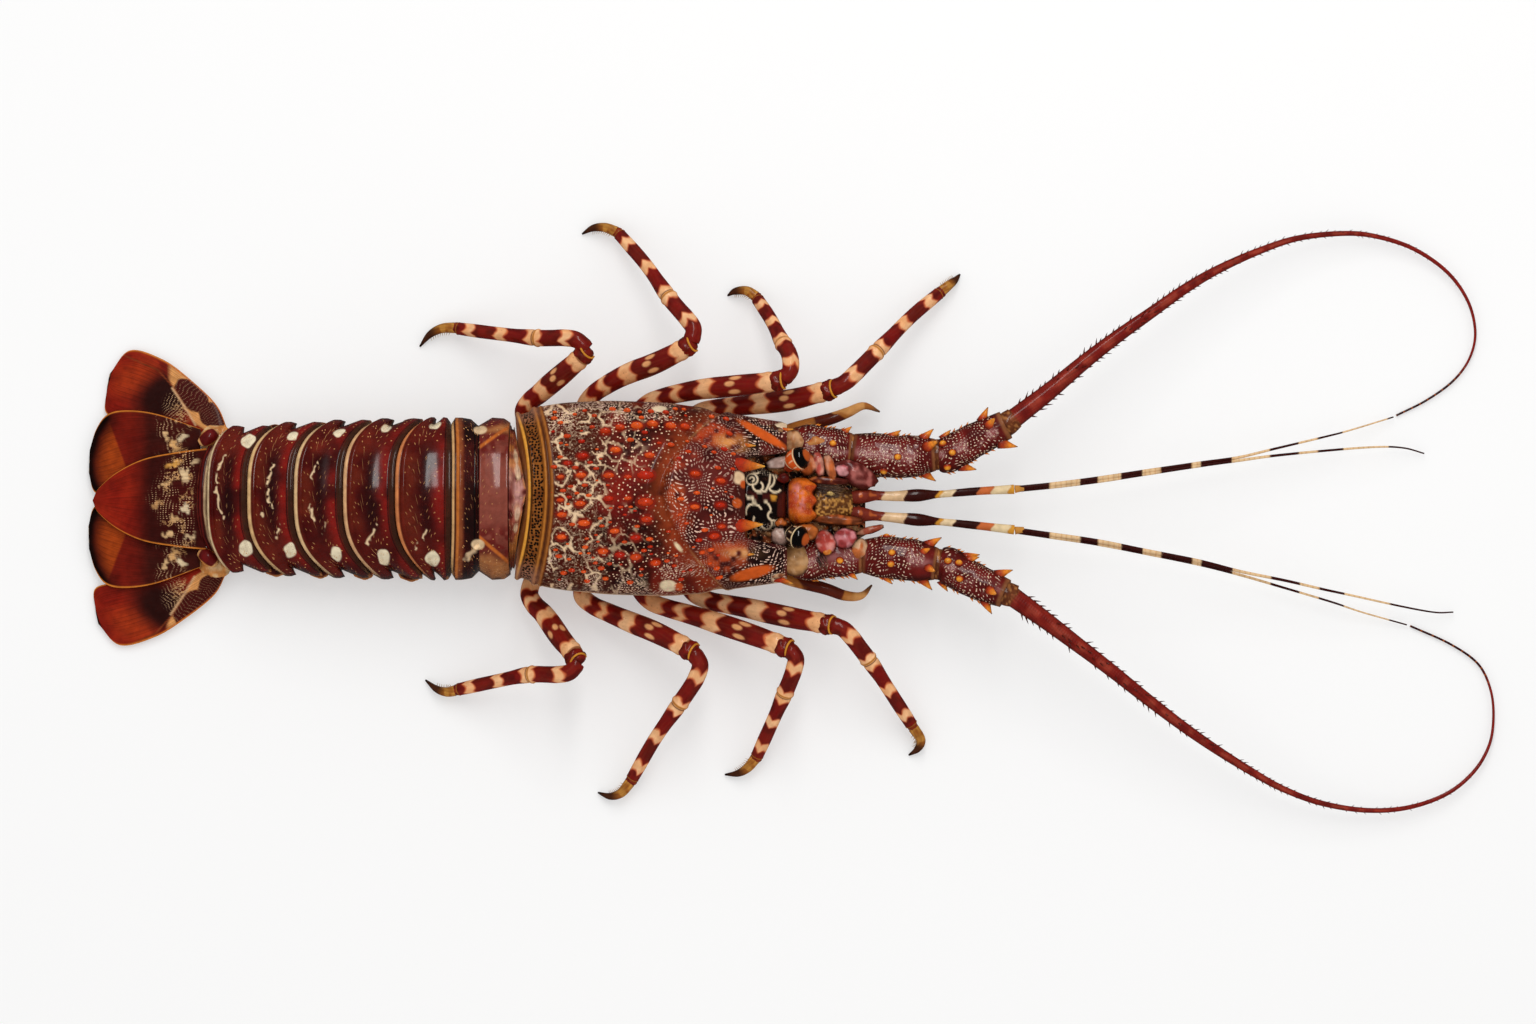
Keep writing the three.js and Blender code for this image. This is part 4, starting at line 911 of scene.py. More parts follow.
def makeCarapace():
    # the rows stand closer at the rear ridges and at the groove
    bow = np.concatenate([np.linspace(0, 0.2, 34, endpoint=False), np.linspace(0.2, 0.9, 96, endpoint=False),
                          np.linspace(0.9, 1.14, 34, endpoint=False), np.linspace(1.14, 2, 72)])
    station = np.concatenate([bow, np.full(carapace["faceRows"], 2.0)])
    reach = np.concatenate([np.ones(len(bow)), np.linspace(0.985, 0.02, carapace["faceRows"])])
    angles = sectionAngles(carapace["topColumns"], carapace["underColumns"])
    station, angle = np.meshgrid(station, angles, indexing="ij")
    reach = np.broadcast_to(reach[:, None], station.shape)
    points, share = carapaceSurface(station, angle, reach)
    paint, grain = paintCarapace(points, station, angle, share)
    around = wayAround(points)
    around = around - around[:, [points.shape[1] // 2]]
    along = points[..., 0] + 20 * (1 - reach)  # runs on over the face
    along = np.concatenate([along, along[:, :1]], 1)
    shell = skin("carapace_shell", points, paint, grain, np.stack([along, around], 2))
    finishPiece(shell, "carapace_shell", carapaceFinish, "carapace")
    x, y, length = np.array(knobs + smallKnobs()).T
    normal = shellNormal(x, y)
    places = np.stack([x, y, shellTop(x, y)], 1) - normal * 0.1
    lean = np.stack([np.ones_like(x), np.zeros_like(x), knobLooks["lean"] * np.ones_like(x)], 1)
    sizes = np.stack([length, length * knobLooks["width"], length * knobLooks["height"] * 2], 1)
    warm = np.random.default_rng(knobLooks["warmthSeed"]).random(len(x))[:, None]
    paint = tone("#b8200c") * (1 - warm) + tone("#e85a1c") * warm
    bumps = sprout("carapace_knobs", knobTree, knobFinish, places, normal, lean, sizes, paint=paint)
    finishPiece(bumps, "carapace_shell", knobFinish)


horns = [  # root, tip, root width
    ((35.5, 11, 44.5), (50.4, 9.4, 52), 9), ((35, -13.4, 44.5), (49.6, -13.6, 52), 9),
    ((36, 19, 41), (46.5, 18.4, 45), 5), ((36, -24.4, 39.6), (46, -24.6, 43.5), 5),
    ((53, 25.5, 32), (61.4, 26, 34.5), 4.4), ((53, -32.3, 29.6), (61.2, -35.6, 33.5), 4.4),
]


def makeHorns():
    roots, tips, widths = (np.array(column, float) for column in zip(*horns))
    toward = tips - roots
    sizes = np.stack([widths, widths, np.linalg.norm(toward, axis=1)], 1)
    thing = sprout("eye_horns", thornTree, hornFinish, roots, toward, (0, 0, 1), sizes, bend=0.12,
                   pointWidth=0.03)
    finishPiece(thing, "carapace_shell", hornFinish)


makeCarapace()
makeHorns()
print("carapace made")

tail = {  # the segments from front to rear, and their side lobes along "at"
    "edges": [-51.6, -74.1, -96.7, -117.4, -137.1, -155.9, -172.6],
    "bows": [0, -1.5, 11, 11.5, 13, 13.4, 9.7], "bowPower": 3.5, "bowHalfWidth": 31,
    "halfWidths": [32.4, 32.6, 32.2, 31.7, 30.9, 29.5],
    "tops": [48.5, 48.5, 47, 44.5, 41, 36, 25],
    "widest": 13, "belly": 8, "underHeights": [6, 7.5], "gap": 0.5, "rows": 76, "topColumns": 250,
    "underColumns": 70,
    "at": [0, 0.08, 0.18, 0.34, 0.46, 0.7, 0.9, 1],
    "notches": [0.08, 0, 0, 0.02, 0.11, 0, 0.01, 0.06],
    "hems": [4, 1.4, 0.6, 2.5, 8, 2.5, 2.2, 6],
    "underWidths": [1, 0.97, 0.87, 0.6, 0.3, 0],
}
ivorySpots = [  # x, y, half-length, half-width
    (-155.7, 22.2, 2.6, 2.8), (-138.0, 23.4, 2.4, 1.9), (-119.5, 24.8, 2.2, 1.9), (-100.5, 26.4, 2.4, 1.8),
    (-81.1, 28.2, 2.4, 1.6), (-156.6, -21.0, 2.9, 3.3), (-138.6, -22.4, 2.3, 2.8), (-120.3, -23.4, 2.4, 2.6),
    (-101.2, -24.9, 2.5, 3.0), (-81.8, -25.6, 2.6, 3.0),
]
creamStrokes = [
    [(-165.3, 16.2), (-168.1, 10.3), (-168.5, 2.3), (-167.7, -3.7), (-164.8, -9)],
    [(-145.3, 11.7), (-147.4, 4.9), (-146.8, -2), (-145.6, -6.2)], [(-149.6, -7.3), (-149.2, -9.6)],
    [(-143.4, -12.4), (-143.8, -17.4)], [(-127.7, 12.2), (-129.6, 5.8)], [(-130.4, -4.9), (-129, -10.7)],
    [(-124.1, -12), (-125.8, -15.8)], [(-103.4, -12.8), (-103.3, -12.6)], [(-104.6, -14.6), (-107.6, -19.7)],
    [(-83.4, -14), (-85.4, -18)], [(-86, -19), (-88.2, -21.7)],
]


def segmentSurface(index, at, angle):
    front, rear = tail["edges"][index], tail["edges"][index + 1]
    frontBow, rearBow = tail["bows"][index], tail["bows"][index + 1]
    frontTop, rearTop = tail["tops"][index], tail["tops"][index + 1]
    turn = np.abs(angle) / (np.pi / 2)
    above, under = turn <= 1, np.clip(turn - 1, 0, 1)
    share = np.where(above, np.sin(np.abs(angle)), evenly(tail["underWidths"], under))
    notch, hem = np.interp(at, tail["at"], tail["notches"]), np.interp(at, tail["at"], tail["hems"])
    halfWidth = tail["halfWidths"][index] * (1 - notch * share ** 4)
    bow = (halfWidth * share / tail["bowHalfWidth"]) ** tail["bowPower"]
    rearX = rear + rearBow * bow + tail["gap"] / 2
    frontX = front + frontBow * bow - tail["gap"] / 2
    relief = 0.95 * band(at, 0.02, 0.1, 0.015) - 0.35 * hump(at, 0.16, 0.03)
    relief = relief + 0.9 * hump(at, 0.5, 0.2) - 0.9 * smooth(at, 0.86, 0.98)
    if index == 0:
        relief = relief - 0.9 * hump(at, 0.46, 0.025) - 0.5 * smooth(at, 0.5, 0.6)
    top = rearTop + (frontTop - rearTop) * at + relief
    heights = [tail["widest"], hem, *tail["underHeights"], tail["belly"]]
    edge = np.stack([np.broadcast_to(height, hem.shape) for height in heights])
    place = under * 4
    step = np.minimum(place.astype(int), 3)
    low = np.take_along_axis(edge, step[None], 0)[0]
    high = np.take_along_axis(edge, step[None] + 1, 0)[0]
    below = low + (high - low) * smooth(place - step, 0, 1) - tail["widest"]
    lift = np.where(above, (top - tail["widest"]) * np.maximum(np.cos(angle), 0) ** 0.8, below)
    x = rearX + (frontX - rearX) * at
    return np.stack([x, -np.sign(angle) * halfWidth * share, tail["widest"] + lift], -1)


def paintSegment(index, points, at, angle):
    x, y = points[..., 0], points[..., 1]
    length = tail["edges"][index] - tail["edges"][index + 1]
    d = at * length  # distance from the rear edge
    patch, fine = blotch(x + 40 * index, y, 6, 21), blotch(x, y, 1.8, 22)
    paint = coat(plain("#4a0a07", x.shape), "#6e150c", patch)
    flank = smooth(np.abs(y), 14, 25)
    if index == 0:
        coat(paint, "#94502a", band(d, 1.5, 4.6, 1.0) * (0.5 + 0.5 * fine))
        coat(paint, "#1a0908", band(d, 4.8, 10.6, 0.9) * (1 - 0.35 * patch))
        coat(paint, "#0c0505", band(d, 8.9, 9.6, 0.3) + band(d, 10.3, 11, 0.3))
        facet = smooth(d, 10.8, 11.6)
        coat(paint, "#8c4638", facet * (1 - 0.7 * flank))
        coat(paint, "#6e1f19", facet * smooth(np.abs(y), 11, 17) * smooth(fine, 0.3, 0.6))
        coat(paint, "#b0703f", facet * smooth(np.abs(y), 23, 26) * smooth(patch, 0.2, 0.6))
        coat(paint, "#c86a26", facet * band(np.abs(y) - 0.8 * (d - 11), 17, 18.6, 0.5))
        pale = spot(x, y, -63.1, 25.6, 2.6, 2) + spot(x, y, -63.7, -20.6, 2.6, 1.9)
        pale = pale + 0.8 * stroke(*uneven(x, y, 2, 2.4, 33), [(-63.7, -21), (-68.6, -25.6)], 1.5, 0.5)
        coat(paint, "#e8c79c", pale)
        for line, width, code in ((0.5, 0.5, "#e2b277"), (1.5, 0.35, "#3a160c"), (2.4, 0.5, "#c8722e")):
            coat(paint, code, band(d, line - width, line + width, 0.25))
    else:
        brown = band(d, 2.6, 0.42 * length, 1.6) * smooth(patch, 0.15, 0.7)
        coat(paint, "#6a2410", 0.7 * brown * (1 - 0.5 * flank))
        coat(paint, "#160507", 0.8 * hump(d, 0.56 * length, 0.2 * length) * (1 - 0.8 * flank))
        red = hump(d, 0.8 * length, 0.12 * length) * smooth(patch, 0.1, 0.7)
        coat(paint, "#96160d", 0.6 * red * (1 - 0.3 * flank))
        coat(paint, "#3a2214", 0.9 * smooth(d, length - 2.4, length - 1.8))
        coat(paint, "#120706", band(d, length - 2.7, length - 2.3, 0.2))
        ridge = {1: "#dd8a52", 2: "#e8b683", 3: "#e6c08c", 4: "#e6bd83", 5: "#efd3a4"}[index]
        coat(paint, ridge, band(d, 0.1, 0.9 if index == 5 else 1.5, 0.2) * (0.75 + 0.25 * fine))
        coat(paint, "#5a1a0e", band(d, 1.75, 2.5, 0.3) * (index < 5))
        coat(paint, "#7a2416", 0.6 * hump(np.abs(y), 20, 5) * hump(d, 0.5 * length, 0.3 * length) * patch)
    for spotX, spotY, long, wide in ivorySpots:
        if abs(spotX - np.clip(spotX, x.min(), x.max())) < 1:
            upper = (np.abs(angle) < np.pi / 2) * (at > 0.12) * (at < 0.97)
            shaken = uneven(x, y, 2.6, 1.3, 29)
            ivory = spot(*shaken, spotX, spotY, long, wide, 12 * np.sign(spotY), 0.25)
            coat(paint, "#f2e2c0", ivory * upper)
    ragged = patches(x, y, 1.1, 27, 0.3, 0.5)
    shaken = uneven(x, y, 1.6, 1.5, 28)
    for route in creamStrokes:
        coat(paint, "#f2d2a6", stroke(*shaken, route, 0.85, 0.3) * ragged * (at > 0.1))
    # the side lobes: a pale rim below, an orange spot at the foot
    lobe = smooth(np.abs(angle), 1.36, 1.52)
    coat(paint, "#3d120d", 0.7 * lobe)
    coat(paint, "#c98d63", 0.85 * band(np.abs(angle), 1.56, 1.68, 0.04))
    coat(paint, "#d98a45", 0.9 * lobe * band(at, 0.86, 0.95, 0.02))
    coat(paint, "#a86f4a", smooth(np.abs(angle), 1.75, 1.95))
    dots = 0.5 * smooth(patch, 0.3, 0.8) * (1 - lobe) * smooth(d, 2.5, 4)
    if index == 0:
        dots = dots * (1 - smooth(d, 10, 11))
    specks = (1 - lobe) * smooth(d, 2.5, 4) * (1 - smooth(d, length - 4, length - 3)) * (0.4 + 0.6 * flank)
    grain = np.stack([0 * dots, dots, specks], -1)
    return paint, np.clip(grain, 0, 1)


def makeTail():
    angles = sectionAngles(tail["topColumns"], tail["underColumns"])
    for index in range(len(tail["halfWidths"])):
        at, angle = np.meshgrid(np.linspace(0, 1, tail["rows"]), angles, indexing="ij")
        points = segmentSurface(index, at, angle)
        paint, grain = paintSegment(index, points, at, angle)
        thing = skin(f"tail_ring_{index + 1}", points, paint, grain)
        finishPiece(thing, "tail_shell", tailFinish, f"tail_segment_{index + 1}")


waist = {"rear": -51.45, "radius": 30.5, "axis": 15, "rise": 34, "drop": 8, "fullness": [0.95, 0.9, 0.93]}


def makeWaist():
    along, angle = gridOf(28, 240)
    share = np.abs(np.sin(angle))
    frontX = carapace["rear"] + carapace["rearBow"] * share - 0.6
    fullness = evenly(waist["fullness"], along)
    fullness = fullness + 0.012 * np.sin(along * 14 + 0.8 * np.sin(angle * 3)) * (np.abs(angle) < 1.7)
    height = np.where(np.cos(angle) >= 0, waist["rise"], waist["drop"])
    x = waist["rear"] + (frontX - waist["rear"]) * along
    y = -np.sin(angle) * waist["radius"] * fullness
    points = np.stack([x, y, waist["axis"] + np.cos(angle) * height * fullness], -1)
    patch = blotch(x, y, 3, 31)
    paint = coat(plain("#a04c36", x.shape), "#d08444", smooth(patch, 0.5, 0.75))
    coat(paint, "#5c1a1a", smooth(patch, 0.42, 0.15))
    for centre, half in ((14.5, 3), (8, 3.4), (-8.6, 2.6), (-14, 1.6)):
        coat(paint, "#ecc9a2", spot(along * 8, y, 5.2, centre, 1.6, half, 0, 0.4))
    # painted highlight: a pink band along the midline of the waist
    coat(paint, "#e0aaa4", 0.75 * hump(y, 0, 8) * smooth(patch, 0.2, 0.6))
    coat(paint, "#c87a34", 0.8 * smooth(along, 0.82, 0.95) * smooth(patch, 0.3, 0.5))
    grain = grainOf(x.shape, 2, 0.5)
    finishPiece(skin("waist_skin", points, paint, grain), "joint_skin", jointFinish, "waist")


sidePlates = {  # x, y, length, width of the dark plates that show between the lobes
    "size": [(-146.3, -27.2, 9.4, 6.6), (-128.7, -28, 9, 6.4), (-111, -28.6, 9, 6.2), (-92.5, -29.4, 9.6, 6),
             (-147.6, 27.4, 9, 5), (-129.6, 28.4, 9, 4.8), (-111.6, 29.2, 9, 4.4), (-93.4, 30.4, 8.6, 3.6)],
    "height": 9.5, "thick": 6, "turn": 18,
}
hinge = {
    "route": [(-171.4, 20.6, 13), (-173.6, 14, 16), (-174.6, 6, 17.4), (-174.8, -1, 17.6),
              (-174.6, -7, 17.2), (-173.4, -14, 15.6), (-171, -20, 12.6)],
    "radii": [1.6, 2.1, 2.2, 2.2, 2.2, 2.1, 1.6],
}


def makeTailTrim():
    pieces = []
    for x, y, length, width in sidePlates["size"]:
        middle, size = (x, y, sidePlates["height"]), (length, width, sidePlates["thick"])
        turn = sidePlates["turn"] * np.sign(y)
        pieces.append(pebble(middle, size, turn, "#3a0d0a", "#5c1a12", "#d98a45", 0.42))
    finishPiece(mergeSkins("tail_side_plates", pieces), "tail_shell", jointFinish)
    along, angle = gridOf(90, 30)
    points = tubePoints(hinge["route"], hinge["radii"], along, angle)
    # pale on its front half, dark red with two lines behind
    back = points[..., 0] - curve(hinge["route"], along)[..., 0]
    paint = coat(plain("#eccd9e", along.shape), "#64120c", 1 - smooth(back, 0.5, 0.8))
    coat(paint, "#240605", band(back, -0.3, 0.2, 0.15) + band(back, -1.5, -1.1, 0.15))
    finishPiece(skin("tail_hinge_band", points, paint), "joint_skin", jointFinish)


makeTail()
makeWaist()
makeTailTrim()
print("tail made")

fan = {  # the free edge is the dark one of the inner blades
    "freeEdge": [(-216, 33.5), (-220, 27), (-222.5, 17), (-222, 9), (-219.6, 3)],
    "thickness": 1.9, "telsonThickness": 2.6, "outerStretch": (1.08, 0.9), "rightShift": 1.5,
    "rows": 150, "columns": 130,
}
telsonEdge = [(-173.4, 20.4, 14), (-186, 18.9, 12), (-199, 16.4, 9.6), (-209.5, 11.4, 7.8), (-217, 5, 6.8),
              (-219.4, 0.3, 6.5)]
outerBlade = {
    "left": [(-165.6, 28.8), (-170.3, 38.9), (-181.6, 49.8), (-192.4, 57.5), (-205.3, 61), (-213.4, 51.5)],
    "right": [(-175.4, 26.4), (-184, 29), (-195.6, 31.5), (-207.7, 33.2), (-214.8, 36), (-214.4, 46)],
    "heights": [5.6, 4.8, 3.7, 2.9, 2.3, 2.1],
}
innerBlade = {
    "left": [(-176.1, 28.6), (-193.8, 34.8), (-206.2, 36.5), (-213.9, 35), (-218.4, 29.1), (-221, 20.7)],
    "right": [(-176.1, 19.8), (-193.8, 12.1), (-206.2, 5.4), (-213.9, 2.2), (-219.2, 4), (-221.3, 11.5)],
    "heights": [9, 6.8, 5.2, 4.4, 3.9, 3.8],
}


def bladeEdges(shape, side, stretch=(1, 1), shift=0):
    left, right = lifted(shape["left"], shape["heights"]), lifted(shape["right"], shape["heights"])
    if side == "left":
        return left, right
    # the right blades are the left ones turned over, stretched from the hinge and shifted
    hingeX, hingeY = left[0][:2]
    moved = []
    for points in (right, left):
        moved.append([(hingeX + (x - hingeX) * stretch[0], -hingeY + (hingeY - y) * stretch[1] + shift, z)
                      for x, y, z in points])
    return moved


def bladeSurface(left, right, thickness):
    along, angle = gridOf(fan["rows"], fan["columns"])
    onLeft, onRight = curve(left, along), curve(right, along)
    share = 0.5 + 0.5 * np.sin(angle)
    points = onRight + (onLeft - onRight) * share[..., None]
    fall = 1 - 0.6 * along
    points[..., 2] += 0.5 * thickness * fall * np.cos(angle)
    return points, along, share


telsonSpots = [  # x, y, half-length, half-width
    (-187, 14, 3, 1.1, "#ecab52"), (-182, 10, 1.2, 3, "#f0cfa0"), (-182, -4, 1.6, 1.8, "#f3dcb4"),
    (-189, -14, 1.8, 1.1, "#eac08a"), (-180, -15, 2.4, 0.8, "#f0cfa0"), (-186, -8, 1.4, 1.2, "#e8bc84"),
    (-190, 6, 2.2, 0.7, "#e8bc84"), (-193, -2, 2, 0.6, "#e0a86c"), (-178, 15, 1.6, 0.9, "#f0cfa0"),
]
innerSpots = [
    (-183, 25, 2.6, 0.9, "#f0d8ae"), (-187, 22, 1.2, 2.6, "#e8b272"), (-181, 17.5, 3, 0.9, "#eac08a"),
    (-190, 26, 1, 1.6, "#eac08a"),
]


def paintBlade(kind, points, along, share, outward):
    # outward is 1 for the left side of the animal and -1 for its right side
    x, y = points[..., 0], points[..., 1] * outward
    outer = share if outward > 0 else 1 - share
    patch, fine = blotch(x, y, 5, 41), blotch(x, y, 1.6, 42)
    ragged = 0.012 * (blotch(y, 3, 0.8, 47) - 0.5)
    rim = np.minimum(np.minimum(outer, 1 - outer) * 26, (1 - along) * 40)  # about millimetres from the edge
    paint = coat(plain("#82150a", x.shape), "#a02610", patch)
    if kind == "telson":
        coat(paint, "#3a100c", smooth(x, -207, -195))
        coat(paint, "#5a1410", 0.6 * smooth(x, -200, -180) * hump(y, 0, 12))
        lean = 0.55 * np.abs(y)
        wedge = smooth(x, -200 + lean, -192 + lean) * (1 - smooth(x, -180, -177))
        network = 0.8 * wedge * smooth(x, -195, -189) * patches(x, y, 3, 45, 0.5, 0.66)
        dots = wedge * patches(x, y, 3, 46, 0.35, 0.6)
        shaken = uneven(x, points[..., 1], 1.3, 2.2, 49)
        for *oval, code in telsonSpots:
            coat(paint, code, spot(*shaken, *oval, 20, 0.3))
        coat(paint, "#4a0e0a", 0.8 * smooth(x, -178, -175.5))
        coat(paint, "#d9802e", 1 - smooth(np.minimum(share, 1 - share) * 36, 0.35, 0.7))
    elif kind == "inner":
        coat(paint, "#38130e", smooth(x, -207, -196) * (0.85 + 0.15 * patch))
        diagonal = 1 - smooth((x + 212.5) + 0.38 * (y - 30), -0.5, 0.5)
        coat(paint, "#5c120a", 0.5 * (1 - diagonal) * (1 - smooth(x, -203, -196)))
        coat(paint, "#a84210", diagonal)
        coat(paint, "#4a1007", 0.95 * stroke(x, y, fan["freeEdge"], 12, 3.6))
        coat(paint, "#0c0403", stroke(x, y, fan["freeEdge"], 6.2, 1.3)
             * smooth(along + ragged * 3, 0.5, 0.55))
        network = 0.8 * band(x, -190, -180, 1.6) * patches(x, y, 3, 45, 0.45, 0.62)
        dots = band(x, -193.5, -183, 1.6) * patches(x, y, 3, 46, 0.3, 0.55)
        shaken = uneven(x, y, 1.3, 2.2, 50)
        for *oval, code in innerSpots:
            coat(paint, code, spot(*shaken, *oval, 35, 0.3))
    else:
        coat(paint, "#b23c14", 0.7 * spot(x, y, -202, 50, 10, 6, 25, 4))
        coat(paint, "#2c0f0c", spot(x, y, -190, 43, 15, 9.5, 30, 4.5))
        strip = stroke(x, y, [(-207.6, 59), (-194, 53), (-187.6, 46), (-181.5, 36)], 0.5, 0.2)
        plateZone = smooth((x + 187.6) + 0.6 * (y - 46), -0.6, 0.6) * smooth(outer, 0.25, 0.32)
        shell = plateZone * smooth(x, -190.5, -188)
        coat(paint, "#7c1a0c", plateZone)
        coat(paint, "#eda560", shell)
        shaken = uneven(x, y, 2.4, 2.2, 48)
        for oval in ((-180.4, 43.2, 8.2, 5.6, -38), (-171.3, 34.6, 6.0, 5.2, -35)):
            coat(paint, "#4c120e", spot(*shaken, *oval, 0.35) * shell)
        coat(paint, "#8a3d1c", strip)
        coat(paint, "#eab988", 0.9 * stroke(x, y, [(-188, 45.5), (-182, 36.5), (-178.5, 30.5)], 0.8, 0.3))
        network = 0.9 * spot(x, y, -184.4, 35.6, 3.0, 4.2, 20, 1.4) * (1 - plateZone)
        dots = spot(x, y, -186.4, 37.4, 4.6, 6, 20, 1.6) * (1 - plateZone) + 0.3 * shell
        coat(paint, "#160604", smooth(along + ragged, 0.955, 0.985))
        coat(paint, "#c4541a", 0.8 * smooth(outer, 0.955, 0.985) * (1 - smooth(along, 0.9, 0.95)))
    if kind != "telson":
        coat(paint, "#d9802e", (1 - smooth(rim, 0.3, 0.7)) * (1 - smooth(along, 0.88, 0.92)))
        coat(paint, "#e6c49c", 0.9 * smooth(along, 0.988, 0.996) * smooth(fine, 0.55, 0.7))
    grain = np.stack([network, dots, np.full(x.shape, 0.4)], -1)
    return paint, np.clip(grain, 0, 1)


def makeFan():
    pieces = {
        "telson": ("telson", (telsonEdge, mirrored(telsonEdge)), 1),
        "outer_blade_left": ("outer", bladeEdges(outerBlade, "left"), 1),
        "inner_blade_left": ("inner", bladeEdges(innerBlade, "left"), 1),
        "outer_blade_right": ("outer", bladeEdges(outerBlade, "right", fan["outerStretch"]), -1),
        "inner_blade_right": ("inner", bladeEdges(innerBlade, "right", (1, 1), fan["rightShift"]), -1),
    }
    for node, (kind, (left, right), outward) in pieces.items():
        thickness = fan["telsonThickness" if kind == "telson" else "thickness"]
        points, along, share = bladeSurface(left, right, thickness)
        paint, grain = paintBlade(kind, points, along, share, outward)
        flat = np.stack([along * 50, share * 40], -1)
        flat = np.concatenate([flat, flat[:, :1]], 1)
        finishPiece(skin(node + "_shell", points, paint, grain, flat), "tail_fan", fanFinish, node)


knuckle = {"route": [(-176.2, 22.6, 11.6), (-172.8, 24.6, 12.4), (-169.4, 27.6, 11)],
           "radii": [1.6, 3, 3.1, 1.4]}
hingeSkin = {"left": (-170.5, 24.5, 6), "right": (-170.5, -24.8, 6), "size": (14, 12, 4.4), "turn": 24}


def makeKnuckles():
    beds = []
    for side, sign, shift in (("left", 1, 0), ("right", -1, fan["rightShift"])):
        size, turn = hingeSkin["size"], sign * hingeSkin["turn"]
        beds.append(pebble(hingeSkin[side], size, turn, "#d98f4a", "#f0c48c", "#7a2c12", 0.1, 201))
        along, angle = gridOf(40, 48)
        route = [(x, y * sign + shift, z) for x, y, z in knuckle["route"]]
        points = tubePoints(route, knuckle["radii"], along, angle)
        paint = coat(plain("#6a1010", along.shape), "#e8ab6c", 1 - smooth(along, 0.12, 0.18))
        coat(paint, "#d9a064", smooth(along, 0.84, 0.9))
        coat(paint, "#dc924c", smooth(np.abs(angle), 0.95, 1.1))
        finishPiece(skin(f"fan_knob_{side}", points, paint), "joint_skin", jointFinish,
                    f"fan_knuckle_{side}")
    finishPiece(mergeSkins("fan_hinge_skin", beds), "joint_skin", jointFinish)


makeFan()
makeKnuckles()
print("tail fan made")

belly = {
    "length": 78, "halfWidth": 18.5, "taper": 0.45, "rearShare": 0.46,
    "section": [(0, 15.7), (0.6, 15.7), (1, 14.2), (1, 8), (0.72, 0), (0.36, 0), (0, 0)],  # across, height
}


def makeBelly():
    along, turn = np.meshgrid(np.linspace(0, 1, 60), np.linspace(-6, 6, 96, endpoint=False), indexing="ij")
    widths, heights = zip(*belly["section"])
    share, height = np.interp(np.abs(turn), range(7), widths), np.interp(np.abs(turn), range(7), heights)
    halfWidth = belly["halfWidth"] * (1 - belly["taper"] * along ** 2)
    x = (along - belly["rearShare"]) * belly["length"]
    points = np.stack([x, -np.sign(turn) * halfWidth * share, height], -1)
    seams = 1 - smooth(np.abs((along * 5) % 1 - 0.5), 0.42, 0.47)
    paint = coat(plain("#7a4a2c", x.shape), "#c9996c", seams)
    coat(paint, "#8a4a28", 0.6 * patches(x, points[..., 1], 4, 51, 0.5, 0.8))
    finishPiece(skin("breast_plate", points, paint), "belly", bellyFinish, "belly_plate")


makeBelly()
print("belly made")

head = {
    "bottom": 20, "power": 0.7,
    "brow": {"from": 41.2, "to": 58.4, "middle": -2.4, "halfWidths": [9.6, 12, 12.4, 11, 9],
             "tops": [46.6, 45.4, 42.4, 39.6, 37]},
    "nose": {"from": 58.6, "to": 71, "middle": -2.4, "halfWidths": [7, 9.2, 9.4, 8.8, 7.2],
             "tops": [37, 39, 39.2, 38, 35.5]},
    "bristles": {"from": 69.6, "to": 85, "middle": -3.2, "halfWidths": [7.2, 7.4, 7, 6.4, 5.4],
                 "tops": [34, 33.6, 33, 31.6, 30]},
}


def blockSurface(shape, rows=70, columns=150):
    along, angle = gridOf(rows, columns)
    width = curve(shape["halfWidths"], along)
    half = (curve(shape["tops"], along) - head["bottom"]) / 2
    ends = 0.75 + 0.25 * (1 - np.clip(np.abs(along * 2 - 1), 0, 1) ** 14) ** 0.5  # rounded ends
    x = shape["from"] + (shape["to"] - shape["from"]) * along
    y = shape["middle"] - width * squared(np.sin(angle), head["power"]) * ends
    z = head["bottom"] + half + half * squared(np.cos(angle), head["power"]) * ends
    return np.stack([x, y, z], -1), along, angle


browCurls = [  # middle, radius, first and last angle of the cream curls
    (44.8, 5.2, 2.3, 0, 360), (47.2, 2.4, 2, 150, 420), (50, 5.5, 3.8, 300, 400), (45.6, -8, 3.2, 20, 200),
    (48, -7.4, 4.4, 0, 130), (50.6, -12, 2.2, 200, 420), (44.2, -1.2, 1.5, 180, 360), (53, -9, 1.8, 90, 300),
    (54, 3, 2.6, 200, 330), (44.8, 5.2, 0.9, 0, 360), (49, -11.5, 3.6, 150, 260), (56, 7.4, 1.6, 120, 380),
    (55.4, -12, 1.5, 0, 220), (46.4, 9.4, 1.7, 180, 330),
]


